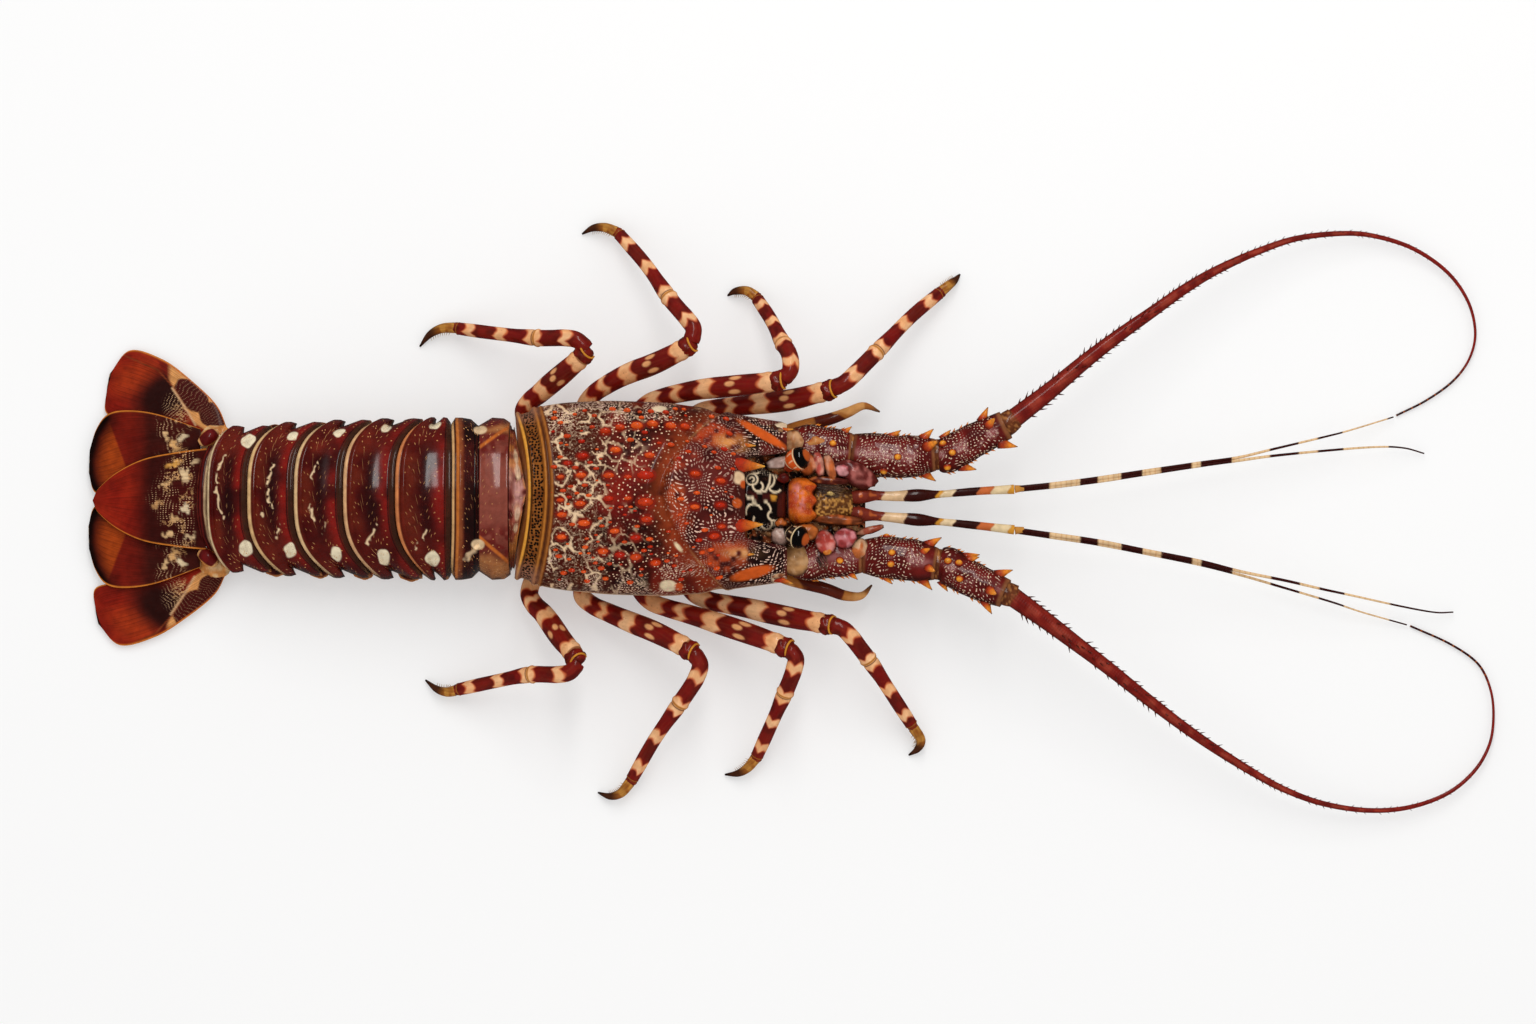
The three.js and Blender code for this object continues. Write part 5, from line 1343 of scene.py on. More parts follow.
def makeHeadPlates():
    points, along, angle = blockSurface(head["brow"])
    x, y = points[..., 0], points[..., 1]
    curls = np.zeros(x.shape)
    for middleX, middleY, radius, start, end in browCurls:
        curls = np.maximum(curls, ring(x, y, middleX, middleY, radius, 0.7, start, end))
    curls = np.maximum(curls, stroke(x, y, [(52.2, 8.4), (51.8, 4), (50.4, 0.8), (47, -0.4)], 0.7))
    paint = plain("#0f0605", x.shape)
    coat(paint, "#4a140e", hump(y, -1.6, 1.5) * patches(x, y, 2, 61, 0.2, 0.5))
    coat(paint, "#5a1a10", 0.7 * patches(x, y, 4, 62, 0.65, 0.85))
    coat(paint, "#edd6b2", curls * patches(x, y, 1.2, 63, 0.1, 0.3))
    coat(paint, "#d9932f", spot(x, y, 53.4, -1.6, 1.4, 1))
    points[..., 2] += 0.35 * curls * (np.abs(angle) < 1.3)
    grain = grainOf(x.shape, 1, 0.8 * smooth(np.abs(y + 2.4), 9, 11))
    finishPiece(skin("brow_shell", points, paint, grain), "brow_shell", browFinish, "brow")

    points, along, angle = blockSurface(head["nose"])
    x, y = points[..., 0], points[..., 1]
    lobes = 0.5 + 0.5 * np.cos((y - head["nose"]["middle"]) * 1.05)
    points[..., 0] -= 1.9 * smooth(along, 0.6, 1) * (1 - lobes)
    points[..., 2] += 0.9 * hump(x, 63, 2.6) * hump(y, -2.5, 4) * (np.abs(angle) < 1.3)
    paint = coat(plain("#e6701c", x.shape), "#c4481a", patches(x, y, 2.4, 64, 0.4, 0.8))
    coat(paint, "#e08a86", 0.9 * spot(x, y, 63.4, -1.5, 2, 5, 12, 1.4) * patches(x, y, 1, 65, 0.2, 0.6))
    coat(paint, "#b03222", 0.7 * spot(x, y, 61.4, -3.5, 1.6, 4, 0, 1))
    coat(paint, "#3c2a34", 1 - smooth(along, 0.02, 0.12))
    coat(paint, "#5a1f10", 0.8 * smooth(along, 0.93, 0.98))
    grain = grainOf(x.shape, 2, 0.4)
    finishPiece(skin("nose_shell", points, paint, grain), "nose_plate", plateFinish, "nose_plate")

    points, along, angle = blockSurface(head["bristles"])
    x, y = points[..., 0], points[..., 1]
    rough = blotch(x, y, 0.7, 66)
    points[..., 2] += (0.5 * rough + 1.1 * spot(x, y, 76.4, 0.6, 1.6, 1.2, 0, 0.7)) * (np.abs(angle) < 1.3)
    paint = coat(plain("#6b3d18", x.shape), "#c98f45", smooth(rough, 0.45, 0.8))
    coat(paint, "#2c1a14", 0.85 * smooth(y, -2, 1.5) * (1 - spot(x, y, 76.4, 0.6, 2, 1.6, 0, 0.5)))
    coat(paint, "#ecc878", spot(x, y, 76.4, 0.6, 1.8, 1.3, 0, 0.5))
    finishPiece(skin("bristle_shell", points, paint), "joint_skin", jointFinish, "bristle_plate")


eyes = {
    "radii": [2.2, 3, 4.3, 4.7, 3.9, 1.2],
    "left": [(58.8, 10.4, 35.6), (61, 12.6, 38), (64.4, 14.2, 39.8), (67.6, 15.4, 41)],
    "right": [(58.8, -14.4, 35.6), (61, -16.2, 38), (64, -17.8, 39.8), (67.2, -19, 41)],
}


def makeEyes():
    for side in ("left", "right"):
        along, angle = gridOf(60, 64)
        points = tubePoints(eyes[side], eyes["radii"], along, angle)
        lean = along + 0.06 * np.cos(angle)
        stalk, cup = ("#8a2a12", "#d8541a") if side == "left" else ("#120908", "#1c0d0a")
        paint = coat(plain(stalk, along.shape), cup, band(lean, 0.34, 0.58, 0.02))
        spokes = smooth(np.cos(angle * 9), 0.6, 0.9)
        coat(paint, "#efc79a", 0.9 * spokes * band(lean, 0.42, 0.56, 0.02))
        coat(paint, "#f0d4a4", band(lean, 0.59, 0.625, 0.01) + band(lean, 0.3, 0.33, 0.01))
        coat(paint, "#060303", smooth(lean, 0.63, 0.65))
        coat(paint, "#b8521e", 0.9 * smooth(lean, 0.9, 0.94))
        finishPiece(skin(f"eyeball_{side}", points, paint), "eye", eyeFinish, f"eye_{side}")


headBed = {  # the dark uneven skin that the plates of the head lie in
    "from": 40, "to": 90, "base": 21, "bottom": 16,
    "left": [27, 27, 27, 24, 21, 16, 10], "right": [-31, -31, -31, -28, -25, -20, -15],
    "top": [37, 35.5, 32.5, 30.5, 29, 28, 25],
}


def makeHeadBed():
    along, angle = gridOf(150, 320)
    left, right, top = (curve(headBed[key], along) for key in ("left", "right", "top"))
    x = headBed["from"] + (headBed["to"] - headBed["from"]) * along
    y = (left + right) / 2 - (left - right) / 2 * squared(np.sin(angle), head["power"])
    over = np.cos(angle) > 0
    rise = np.where(over, top - headBed["base"], headBed["base"] - headBed["bottom"])
    z = headBed["base"] + rise * squared(np.cos(angle), 0.35)
    z = z + over * (1.3 * (blotch(x, y, 3.4, 171) - 0.5) + 0.7 * blotch(x, y, 1.1, 172))
    paint = coat(plain("#43200f", x.shape), "#9a4a1c", patches(x, y, 3, 173, 0.45, 0.7))
    coat(paint, "#1a0906", patches(x, y, 2.2, 174, 0.5, 0.75))
    coat(paint, "#b98252", 0.8 * patches(x, y, 2.6, 175, 0.62, 0.8))
    coat(paint, "#c9602a", 0.7 * patches(x, y, 0.9, 176, 0.75, 0.9))
    grain = grainOf(x.shape, 2, 0.7)
    finishPiece(skin("head_skin", np.stack([x, y, z], -1), paint, grain), "joint_skin", jointFinish)


headLumps = {  # name: middle, size, turn, paint, shade
    "socket_left": ((55.8, 12.6, 36.4), (10.4, 5, 6), 10, "#c4a396", "#e0c6ba"),
    "socket_right": ((56, -16.8, 35.6), (7.4, 7.6, 6), 0, "#bf9c8e", "#dcc0b2"),
    "ball_left": ((57.4, 6.2, 37), (5, 4.4, 4.4), 0, "#5a120e", "#8a2018"),
    "ball_right": ((56.4, -11.4, 37), (5, 4, 4.2), 0, "#2a0c0a", "#c8682a"),
    "membrane_left": ((61, 21.6, 30.4), (11, 9, 6), -24, "#cf9c70", "#b97a4a"),
    "membrane_left_front": ((70, 21, 30), (11, 6, 6.4), 6, "#b3581f", "#cf8a4c"),
    "membrane_right": ((61.6, -25.4, 30), (14, 13, 7.4), 22, "#c08c58", "#d2a272"),
    "plate_left": ((67, 12.2, 34), (8.4, 8.4, 6), 0, "#c9642c", "#dc8f6a"),
    "ridge_left_1": ((71.4, 12.2, 33.8), (4.4, 10.4, 7), 12, "#c8574a", "#dd9a84"),
    "ridge_left_2": ((75.8, 11, 33), (4.4, 10.6, 7), 18, "#cc6a34", "#e0a080"),
    "lobe_left": ((86, 8.4, 30), (19, 9, 6), -28, "#6e2420", "#b4645c"),
    "dome_left": ((80.6, 9.8, 32), (6.4, 5, 5), -20, "#c25e62", "#e09a9c"),
    "groove_left": ((88.6, 12.6, 26.4), (20, 6, 6), -26, "#a86c38", "#8a4c24"),
    "strip_left": ((75, 5.6, 33), (17, 3.4, 4), -4, "#5a1c12", "#c06a34"),
    "strip_right": ((79, -9.8, 31), (21, 4.6, 5), -3, "#7a3c1e", "#c8642c"),
    "orange_right": ((66.2, -15, 34), (10, 7, 5), 0, "#c4682a", "#dc9a5c"),
    "lump_right": ((74, -19.2, 33.2), (8.4, 10, 6.6), 10, "#b8443a", "#d98a80"),
    "gold_right": ((74.8, -22.6, 34), (4.2, 3.2, 4), 30, "#e09a3a", "#d0742a"),
    "dome_right": ((81.9, -17.4, 32.4), (9.4, 8.6, 6), 10, "#a83c3c", "#d8868a"),
    "joint_right": ((87.4, -21.4, 30), (7, 9.4, 7), -26, "#dfb088", "#c46a34"),
    "hook_right": ((92, -13.6, 27.4), (12, 3, 3.4), 16, "#a84c34", "#d08a6c"),
    "corner_left": ((54, 25, 34), (8, 5, 5), -24, "#b88a62", "#4a2014"),
    "corner_right": ((55, -31, 32), (8, 5, 5), 22, "#d0a27a", "#8a4a2c"),
}


def makeHeadLumps():
    pieces = []
    for index, (middle, size, turn, paint, shade) in enumerate(headLumps.values()):
        # each lump darkened underneath by the default rim colour: painted shade
        pieces.append(pebble(middle, size, turn, paint, shade, seed=70 + index))
    finishPiece(mergeSkins("head_soft_parts", pieces), "joint_skin", jointFinish)


hairs = {  # ranges in x, y and z of the roots of two tufts, and of where they point
    "seed": 6,
    "mouth": {"count": 150, "roots": [(70, 76), (-1, 4.6)], "height": 33.4, "width": 0.34, "length": (3, 7),
              "toward": [(0.8, 1.2), (-0.25, 0.1), (0.0, 0.22)]},
    "side": {"count": 50, "roots": [(70, 73.4), (-27, -22), (30, 34)], "width": 0.36, "length": (3, 6),
             "toward": [(0.2, 0.8), (-1.2, -0.7), (-0.3, 0.1)]},
}


def makeMouthHair():
    random = np.random.default_rng(hairs["seed"])
    places, toward, sizes = [], [], []
    for tuft in (hairs["mouth"], hairs["side"]):
        count = tuft["count"]
        roots = [random.uniform(low, high, count) for low, high in tuft["roots"]]
        if "height" in tuft:
            roots.append(np.full(count, tuft["height"]))
        places += list(np.stack(roots, 1))
        toward += list(np.stack([random.uniform(low, high, count) for low, high in tuft["toward"]], 1))
        lengths = random.uniform(*tuft["length"], count)
        sizes += [(tuft["width"], tuft["width"], length) for length in lengths]
    thing = sprout("mouth_hairs", thornTree, hairFinish, places, toward, (0, 0, 1), sizes,
                   bend=0.1, pointWidth=0.1)
    finishPiece(thing, "joint_skin", hairFinish)


makeHeadBed()
makeHeadPlates()
makeEyes()
makeHeadLumps()
makeMouthHair()
print("head made")

stalks = {  # a thorn's share of the joint, its place around it in degrees, and its length
    "left": {
        "base": {"points": [(60.4, 22.4, 25), (72, 19.6, 26), (84.2, 18.4, 26)],
                 "radii": [5.5, 8.2, 8.3, 8.3, 7],
                 "thorns": [(0.86, 285, 4), (0.7, 350, 3)]},
        "middle": {"points": [(85, 18.3, 26), (101.6, 15.8, 27), (117.8, 16.4, 28)],
                   "radii": [7, 8.5, 8.5, 8.4, 6.6],
                   "thorns": [(0.42, 278, 6), (0.86, 284, 7), (0.9, 335, 8), (0.84, 95, 7), (0.3, 92, 3.5),
                              (0.55, 5, 3), (0.4, 50, 3)]},
        "end": {"points": [(118.8, 16.5, 28.1), (123.4, 17, 28.4), (133.2, 21.9, 30), (145.8, 28, 32)],
                "radii": [6, 7.6, 7.2, 6.8, 6],
                "thorns": [(0.22, 285, 5), (0.82, 278, 7), (0.86, 335, 6), (0.88, 84, 9), (0.4, 96, 8),
                           (0.2, 330, 3), (0.4, 5, 3.4), (0.25, 45, 3)]},
    },
    "right": {
        "base": {"points": [(60.4, -27.4, 25), (74, -24.4, 26), (88.2, -23.8, 26)],
                 "radii": [5.5, 8.2, 8.3, 8.3, 7],
                 "thorns": [(0.84, 80, 4), (0.7, 15, 3)]},
        "middle": {"points": [(89.4, -23.9, 26), (103.6, -25, 27), (118.2, -27.2, 28)],
                   "radii": [7, 8.4, 8.4, 8.3, 6.6],
                   "thorns": [(0.84, 278, 8), (0.3, 284, 3.5), (0.3, 90, 5), (0.84, 94, 7), (0.9, 22, 5),
                              (0.4, 350, 3), (0.4, 20, 3.2), (0.8, 330, 4)]},
        "end": {"points": [(119.2, -27.4, 28.1), (123.4, -28.4, 28.4), (133.2, -34, 30), (145.4, -39.3, 32)],
                "radii": [6, 7.6, 7.3, 7, 6],
                "thorns": [(0.45, 276, 7), (0.5, 292, 5), (0.86, 280, 8), (0.86, 15, 6), (0.84, 95, 7),
                           (0.25, 95, 5), (0.3, 350, 3.2), (0.45, 340, 3), (0.55, 20, 3.4)]},
    },
}
stalkLooks = {"flatness": 0.84, "sink": 0.82, "bump": 3.6, "overlap": 2.6, "rows": 100, "columns": 110,
              "bumpSize": (3.4, 3.0, 3.2)}  # what is shorter than a bump is a round one


def stalkPlace(shape, share, degrees):
    # a place on a joint's surface, the joint's middle there, and the way forward
    where, turn = np.array([[share]]), np.array([[math.radians(degrees)]])
    root = tubePoints(shape["points"], shape["radii"], where, turn, stalkLooks["flatness"])[0, 0]
    centre, forward, right, up = (part[0, 0] for part in Path(shape["points"]).at(where))
    return root, centre, forward


def makeStalks():
    for side, joints in stalks.items():
        places, outward, sizes, bumps = [], [], [], []
        for joint, shape in joints.items():
            along, angle = gridOf(stalkLooks["rows"], stalkLooks["columns"])
            lumps = 0.25 * blotch(along * 12, angle * 2, 1, 81) * (0.2 + 0.8 * band(along, 0.1, 0.9, 0.1))
            points = tubePoints(shape["points"], shape["radii"], along, angle, stalkLooks["flatness"],
                                (lumps - 0.2)[..., None])
            x, y = points[..., 0], points[..., 1]
            patch = blotch(x, y, 4, 82)
            paint = coat(plain("#520d0a", along.shape), "#7a1a14", patch)
            # a pinkish painted highlight along the top, and painted shade darkening the sides and underneath
            coat(paint, "#b87a78", 0.5 * hump(angle, 0.1, 0.2) * smooth(patch, 0.3, 0.6))
            coat(paint, "#1e0a08", 0.7 * smooth(np.abs(angle), 0.6, 1.3))
            coat(paint, "#8c5430", smooth(along, 0.95, 0.98))
            coat(paint, "#6e3a20", 1 - smooth(along, 0.02, 0.05))
            dots = band(along, 0.08, 0.92, 0.03) * patches(x, y, 5, 83, 0.15, 0.4)
            dots = dots * (1 - smooth(np.abs(angle), 1.5, 1.8))
            # the cream network only along the top, as part of the painted highlight
            network = 0.6 * dots * hump(angle, 0.1, 0.34) * smooth(patch, 0.4, 0.6)
            thing = skin(f"stalk_{joint}_{side}", points, paint, np.stack([network, dots, 0.8 * dots], -1))
            finishPiece(thing, "antenna_stalk", stalkFinish, f"antenna_{joint}_{side}")
            for share, degrees, length in shape["thorns"]:
                root, centre, forward = stalkPlace(shape, share, degrees)
                root = centre + (root - centre) * stalkLooks["sink"]
                out = unit(root - centre)
                if length < stalkLooks["bump"]:
                    bumps.append((root + out * 1.1, out))
                    continue
                toward = out * (2.2 + length * 0.34) + forward * (0.6 + length * 0.5)
                width = 2.4 + length * 0.34
                places.append(root)
                outward.append(toward)
                sizes.append((width, width, np.linalg.norm(toward)))
        for shape in joints.values():
            # the small thorns along both edges
            for share in np.linspace(0.2, 0.78, 7):
                for degrees in (88, 272):
                    shaken = share + 0.03 * math.sin(degrees + 40 * share)
                    root, centre, forward = stalkPlace(shape, shaken, degrees)
                    out = unit(root - centre)
                    places.append(root - out * 0.8)
                    outward.append(out * 1.6 + forward * 1.3)
                    sizes.append((1.5, 1.5, 2.3))
        thing = sprout(f"stalk_thorns_{side}", thornTree, thornFinish, places, outward, (1, 0, 0), sizes,
                       bend=0.16, pointWidth=0.03)
        finishPiece(thing, "antenna_stalk", thornFinish)
        spots, faces = zip(*bumps)
        thing = sprout(f"stalk_bumps_{side}", knobTree, goldKnobFinish, spots, faces, (1, 0, 0),
                       stalkLooks["bumpSize"])
        finishPiece(thing, "antenna_stalk", goldKnobFinish)
        # soft skin inside the joints
        ends = [shape["points"] for shape in joints.values()]
        gaps = [(part[-1], following[0]) for part, following in zip(ends, ends[1:])]
        gaps.append((ends[-1][-1], (*whips[side][0], whipLooks["heights"][0])))
        links = []
        for (start, end), radius in zip(gaps, (6.2, 5.8, 4.4)):
            start, end = np.array(start, float), np.array(end, float)
            pull = unit(end - start) * stalkLooks["overlap"]
            along, angle = gridOf(24, 40)
            route, radii = [start - pull, (start + end) / 2, end + pull], [radius, radius + 0.4, radius]
            points = tubePoints(route, radii, along, angle, stalkLooks["flatness"])
            paint = coat(plain("#6a3418", along.shape), "#a86c38",
                         patches(along * 10, angle * 3, 1, 181, 0.5, 0.75))
            links.append((points, paint))
        finishPiece(mergeSkins(f"stalk_skin_{side}", links), "joint_skin", jointFinish)


whips = {
    "left": [
        (147.3, 29.2), (162.9, 41.3), (178.1, 54.1), (191.1, 64.2), (204.4, 73.8), (217.6, 83.4),
        (230.6, 91.4), (247.1, 99.3), (263.6, 105.2), (282.1, 107.6), (295.5, 106.7), (310.6, 101.9),
        (324, 92.8), (332.4, 81.3), (335.5, 68.8), (333.3, 58.1), (326.7, 48.9), (315.9, 41),
        (303.6, 34.8)],
    "right": [
        (147.3, -39.8), (160.8, -49.5), (174, -59.4), (187.5, -69.6), (201.1, -80.3), (214.7, -90.5),
        (228.3, -99.8), (243, -108.8), (256.4, -115.9), (272.1, -121.5), (290.1, -124.2), (306.9, -123),
        (322.3, -117.6), (333.2, -108.9), (339.6, -98.4), (341.6, -87.3), (340.6, -75.7), (335.7, -65.3),
        (324.7, -57.3), (308.6, -49.9)],
}
whipLooks = {
    "base": 4, "tip": 0.42, "taper": [1, 0.74, 0.58, 0.44, 0.3, 0.24, 0.19, 0.14, 0.12, 0.1],
    "heights": [32, 31, 29, 26, 22, 17.5, 12.5, 8.2, 5.4, 4, 3.1, 2.4, 1.9, 1.5, 1],
    "rows": 900, "columns": 24, "spines": 150, "spineReach": 0.72, "spineLength": 3.0,
}


def makeWhips():
    radii = [max(whipLooks["base"] * share, whipLooks["tip"]) for share in whipLooks["taper"]]
    for side, route in whips.items():
        path = lifted(route, whipLooks["heights"])
        along, angle = gridOf(whipLooks["rows"], whipLooks["columns"])
        points = tubePoints(path, radii, along, angle)
        patch = blotch(along * 300, angle * 2, 3, 91)
        paint = coat(plain("#7a1610", along.shape), "#962414", patch)
        # a light painted highlight along the top, and painted shade darkening the sides and underneath
        coat(paint, "#b8523c", 0.45 * hump(angle, 0.1, 0.5) * smooth(patch, 0.4, 0.7))
        coat(paint, "#5a160d", 0.6 * smooth(np.abs(angle), 0.7, 1.3))
        coat(paint, "#8e1c12", smooth(along, 0.5, 0.6))
        coat(paint, "#3a0c0a", smooth(along, 0.84, 0.9))
        joints = smooth(along, 0.84, 0.87) * smooth(np.abs((along * 70) % 1 - 0.5), 0.4, 0.46)
        coat(paint, "#c8682a", 0.8 * joints)
        coat(paint, "#8a4a28", 1 - smooth(along, 0.004, 0.01))
        finishPiece(skin(f"whip_{side}_skin", points, paint), "whip", whipFinish, f"whip_{side}")
        # spines on both sides, smaller towards the tip
        random = np.random.default_rng(14 if side == "left" else 15)
        count = whipLooks["spines"]
        share = np.linspace(0.02, whipLooks["spineReach"], count) + random.uniform(-0.002, 0.002, count)
        turn = np.where(np.arange(count) % 2 == 0, -1, 1) * random.uniform(1.2, 1.75, count)
        turn = np.where(random.random(count) < 0.25, random.uniform(-0.8, 0.8, count), turn)
        where, turn = share[:, None], turn[:, None]
        root = tubePoints(path, radii, where, turn)[:, 0]
        centre, forward, right, up = (part[:, 0] for part in Path(path).at(where))
        out = (root - centre) / np.linalg.norm(root - centre, axis=1)[:, None]
        fade = 1 - 0.72 * share / whipLooks["spineReach"]
        toward = out + forward * random.uniform(0.7, 1.3, count)[:, None]
        length = whipLooks["spineLength"] * fade * random.uniform(0.6, 1.1, count)
        sizes = np.stack([0.9 * fade, 0.9 * fade, length], 1)
        thing = sprout(f"whip_{side}_spines", thornTree, spineFinish, root - out * 0.25, toward, forward,
                       sizes, bend=0.3, pointWidth=0.05)
        finishPiece(thing, "whip", spineFinish)


makeStalks()
makeWhips()
print("antennae made")

antennules = {
    "stalkRadii": [2.4, 2.9, 2.7, 2, 1.9, 2.1, 2.5, 1.5, 1.5, 1.6, 1.6, 1.7, 1.9],
    "branchRadii": [0.85, 0.8, 0.75, 0.66, 0.56, 0.46, 0.36, 0.3],
    "stalkHeights": [27, 27, 27, 27, 26, 25],
    "upperHeights": [25.2, 23.6, 21, 17.5, 13, 8, 2.3], "lowerHeights": [24.4, 22.5, 20, 16.5, 12, 7, 2.3],
    "left": {
        "stalk": [(84.2, -0.6), (92, 0.2), (102.4, 0), (120.2, 0.8), (135.3, 2.1), (149.2, 2.9)],
        "upper": [(150.2, 3.4), (166.3, 5.2), (183.5, 7.6), (201.5, 10.5), (223.5, 14), (239.2, 16.5),
                  (253.7, 20.2), (273.9, 25.3), (284.4, 28.3), (302.4, 34.1)],
        "lower": [(150.2, 2.6), (166.4, 4.3), (183.5, 6.5), (201.5, 9.4), (223.5, 12.9), (239.2, 15.2),
                  (254.6, 17.5), (279.1, 20.1), (296.4, 21.5), (306.5, 21.3), (314.6, 19.4)],
    },
    "right": {
        "stalk": [(84.2, -6.8), (91.4, -7.6), (102.4, -8.7), (120.2, -10.3), (135.3, -11.8), (149.2, -13.3)],
        "upper": [(150.2, -13.2), (163.6, -15), (182.3, -17.6), (201.5, -21.3), (223.1, -25.4), (240, -29.5),
                  (257.7, -32.9), (273, -36.2), (284.8, -38.5), (304.9, -42.7), (318.2, -44.8),
                  (325.8, -44.5)],
        "lower": [(150.2, -14), (163.6, -15.9), (182.3, -18.6), (201.5, -22.2), (223.1, -26.5), (240, -30.6),
                  (256.6, -35.2), (276.7, -40.9), (288.9, -44.7), (307.2, -49.6)],
    },
}
branchBands = [  # dark stretches of the branches, by their x
    (149, 163.4), (175.6, 182.7), (192, 200.6), (208, 220.4), (224, 236.6), (252, 263.6), (271.4, 281.6),
    (300, 360)]
stalkBands = [(84, 97, "#7a2a1c"), (97, 106, "#e6bf92"), (106, 118.6, "#3a0f0a"), (118.6, 120.4, "#d9962f"),
              (120.4, 125.4, "#ecd0a4"), (125.4, 135, "#35100b"), (135, 140.6, "#cd6a35"),
              (140.6, 147.4, "#ead0a2"), (147.4, 160, "#d9962f")]


def makeAntennules():
    for side in ("left", "right"):
        shape = antennules[side]
        along, angle = gridOf(200, 40)
        points = tubePoints(lifted(shape["stalk"], antennules["stalkHeights"]), antennules["stalkRadii"],
                            along, angle)
        x = points[..., 0]
        paint = plain("#7a2a1c", along.shape)
        for start, end, code in stalkBands:
            coat(paint, code, band(x + 0.8 * np.sin(2 * angle), start, end, 0.3))
        coat(paint, "#c8642c", 0.8 * patches(x, angle * 3, 2, 101, 0.55, 0.75) * (1 - smooth(x, 95, 97)))
        finishPiece(skin(f"antennule_{side}_stalk", points, paint), "antennule", antennuleFinish,
                    f"antennule_{side}")
        strands = []
        for key in ("upper", "lower"):
            along, angle = gridOf(420, 12)
            points = tubePoints(lifted(shape[key], antennules[key + "Heights"]), antennules["branchRadii"],
                                along, angle)
            x = points[..., 0]
            paint = plain("#e9c596", along.shape)
            coat(paint, "#cf8a4a", 0.5 * smooth(np.abs((x / 2.1) % 1 - 0.5), 0.36, 0.44))
            for start, end in branchBands:
                coat(paint, "#3a0f0a", band(x, start, end, 0.3))
            strands.append((points, paint))
        first = shape["upper"][0]
        along, angle = gridOf(16, 24)
        route = [(first[0] - 0.6, first[1] - 0.4, 24.8), (first[0] + 3, first[1], 24.7)]
        collar = tubePoints(route, [1.6, 1.1], along, angle)
        strands.append((collar, plain("#c98a3c", along.shape)))
        finishPiece(mergeSkins(f"antennule_{side}_strands", strands), "antennule", antennuleFinish,
                    f"antennule_branches_{side}")


makeAntennules()
print("antennules made")

legs = {
    "leg_left_1": {
        "thigh": [(13, 19.4), (18, 29.5), (25.3, 35.7), (42, 37.6), (59.9, 39.3), (75.2, 42.4)],
        "shin": [(76.8, 43), (82.1, 45.6), (87.7, 51), (97.3, 61.3), (108.6, 73.5), (119.7, 83.5)],
        "claw": [(120.9, 84.6), (123.9, 87.1), (126.3, 89.2), (128.4, 91.9)]},
    "leg_left_2": {
        "thigh": [(-1, 20.6), (-2.4, 31), (3.5, 39), (20.2, 43.1), (38.1, 44.4), (54.8, 45.6)],
        "shin": [(57, 46.2), (60, 49.8), (59.8, 56), (56.6, 62.6), (52.4, 72), (47.2, 81)],
        "claw": [(46.4, 82.4), (42.6, 84.8), (38, 84.8), (35, 83.3)]},
    "leg_left_3": {
        "thigh": [(-16, 20.6), (-22, 31), (-20.6, 40.5), (-7.7, 48.7), (6.3, 53.5), (19, 59.2)],
        "shin": [(20.6, 61), (21.8, 65), (19.6, 69.8), (11.9, 79.6), (2.2, 94.3), (-8.4, 107.4)],
        "claw": [(-9.8, 108.6), (-14.3, 110.4), (-19.1, 110.4), (-23.6, 108.3)]},
    "leg_left_4": {
        "thigh": [(-31.8, 22.6), (-42.5, 27.5), (-46.6, 36), (-39.1, 43), (-30.8, 49.2), (-22.8, 55.4)],
        "shin": [(-20.8, 58.2), (-23.9, 61.4), (-29.2, 63), (-40.5, 63.7), (-56.7, 66.4), (-73, 69.4)],
        "claw": [(-74.6, 69.8), (-79.8, 69.6), (-84.7, 67.3), (-88.8, 62.7)]},
    "leg_right_1": {
        "thigh": [(13, -19.4), (17, -30.5), (24.1, -39.2), (42, -43.5), (59.9, -47.8), (74.6, -51)],
        "shin": [(76.4, -51.3), (81.6, -53.4), (86, -58.2), (93.8, -68.2), (101.6, -79.6), (108.4, -89.6)],
        "claw": [(109.4, -91.2), (112.3, -95.9), (111.1, -99.4), (107.6, -101.8)]},
    "leg_right_2": {
        "thigh": [(-1, -20.6), (-1, -32), (4.2, -40.8), (24.1, -47.7), (42.1, -54.2), (57.6, -60.2)],
        "shin": [(59.3, -61.2), (62.2, -65), (61, -71), (57.4, -79.6), (52.4, -90.5), (46.9, -102.2)],
        "claw": [(46, -103.6), (43, -107.1), (39.2, -109.2), (34, -109.6)]},
    "leg_right_3": {
        "thigh": [(-16, -20.6), (-21.6, -31), (-22.1, -40), (-7.7, -47.8), (6.3, -54.1), (19.6, -61.2)],
        "shin": [(21.4, -62.6), (24.2, -66.8), (22.6, -73), (16.3, -82.2), (6.2, -96), (-2.9, -111.2)],
        "claw": [(-4, -113), (-7.5, -117.1), (-11.9, -118.4), (-16.8, -116.8)]},
    "leg_right_4": {
        "thigh": [(-31.8, -22), (-41, -29), (-44.1, -38.8), (-37.5, -47.3), (-31, -56.9), (-25.5, -63.6)],
        "shin": [(-24.3, -66.6), (-26.6, -70.1), (-32.2, -71.4), (-43.5, -71), (-56.7, -72.9),
                 (-72.3, -75.7)],
        "claw": [(-73.9, -76.2), (-77.4, -76.7), (-81.5, -75.4), (-86, -71.7)]},
}
legHeights = {
    "front": {"thigh": [8.5, 8.5, 11, 14, 19, 26], "shin": [26.4, 27.2, 25, 19, 12, 6]},
    "other": {"thigh": [8.5, 8.4, 11, 16.6, 24.4, 31], "shin": [31.8, 32.2, 30, 23.6, 14.4, 6]},
    "claw": [5.5, 4.8, 3.2, 0.9],
}
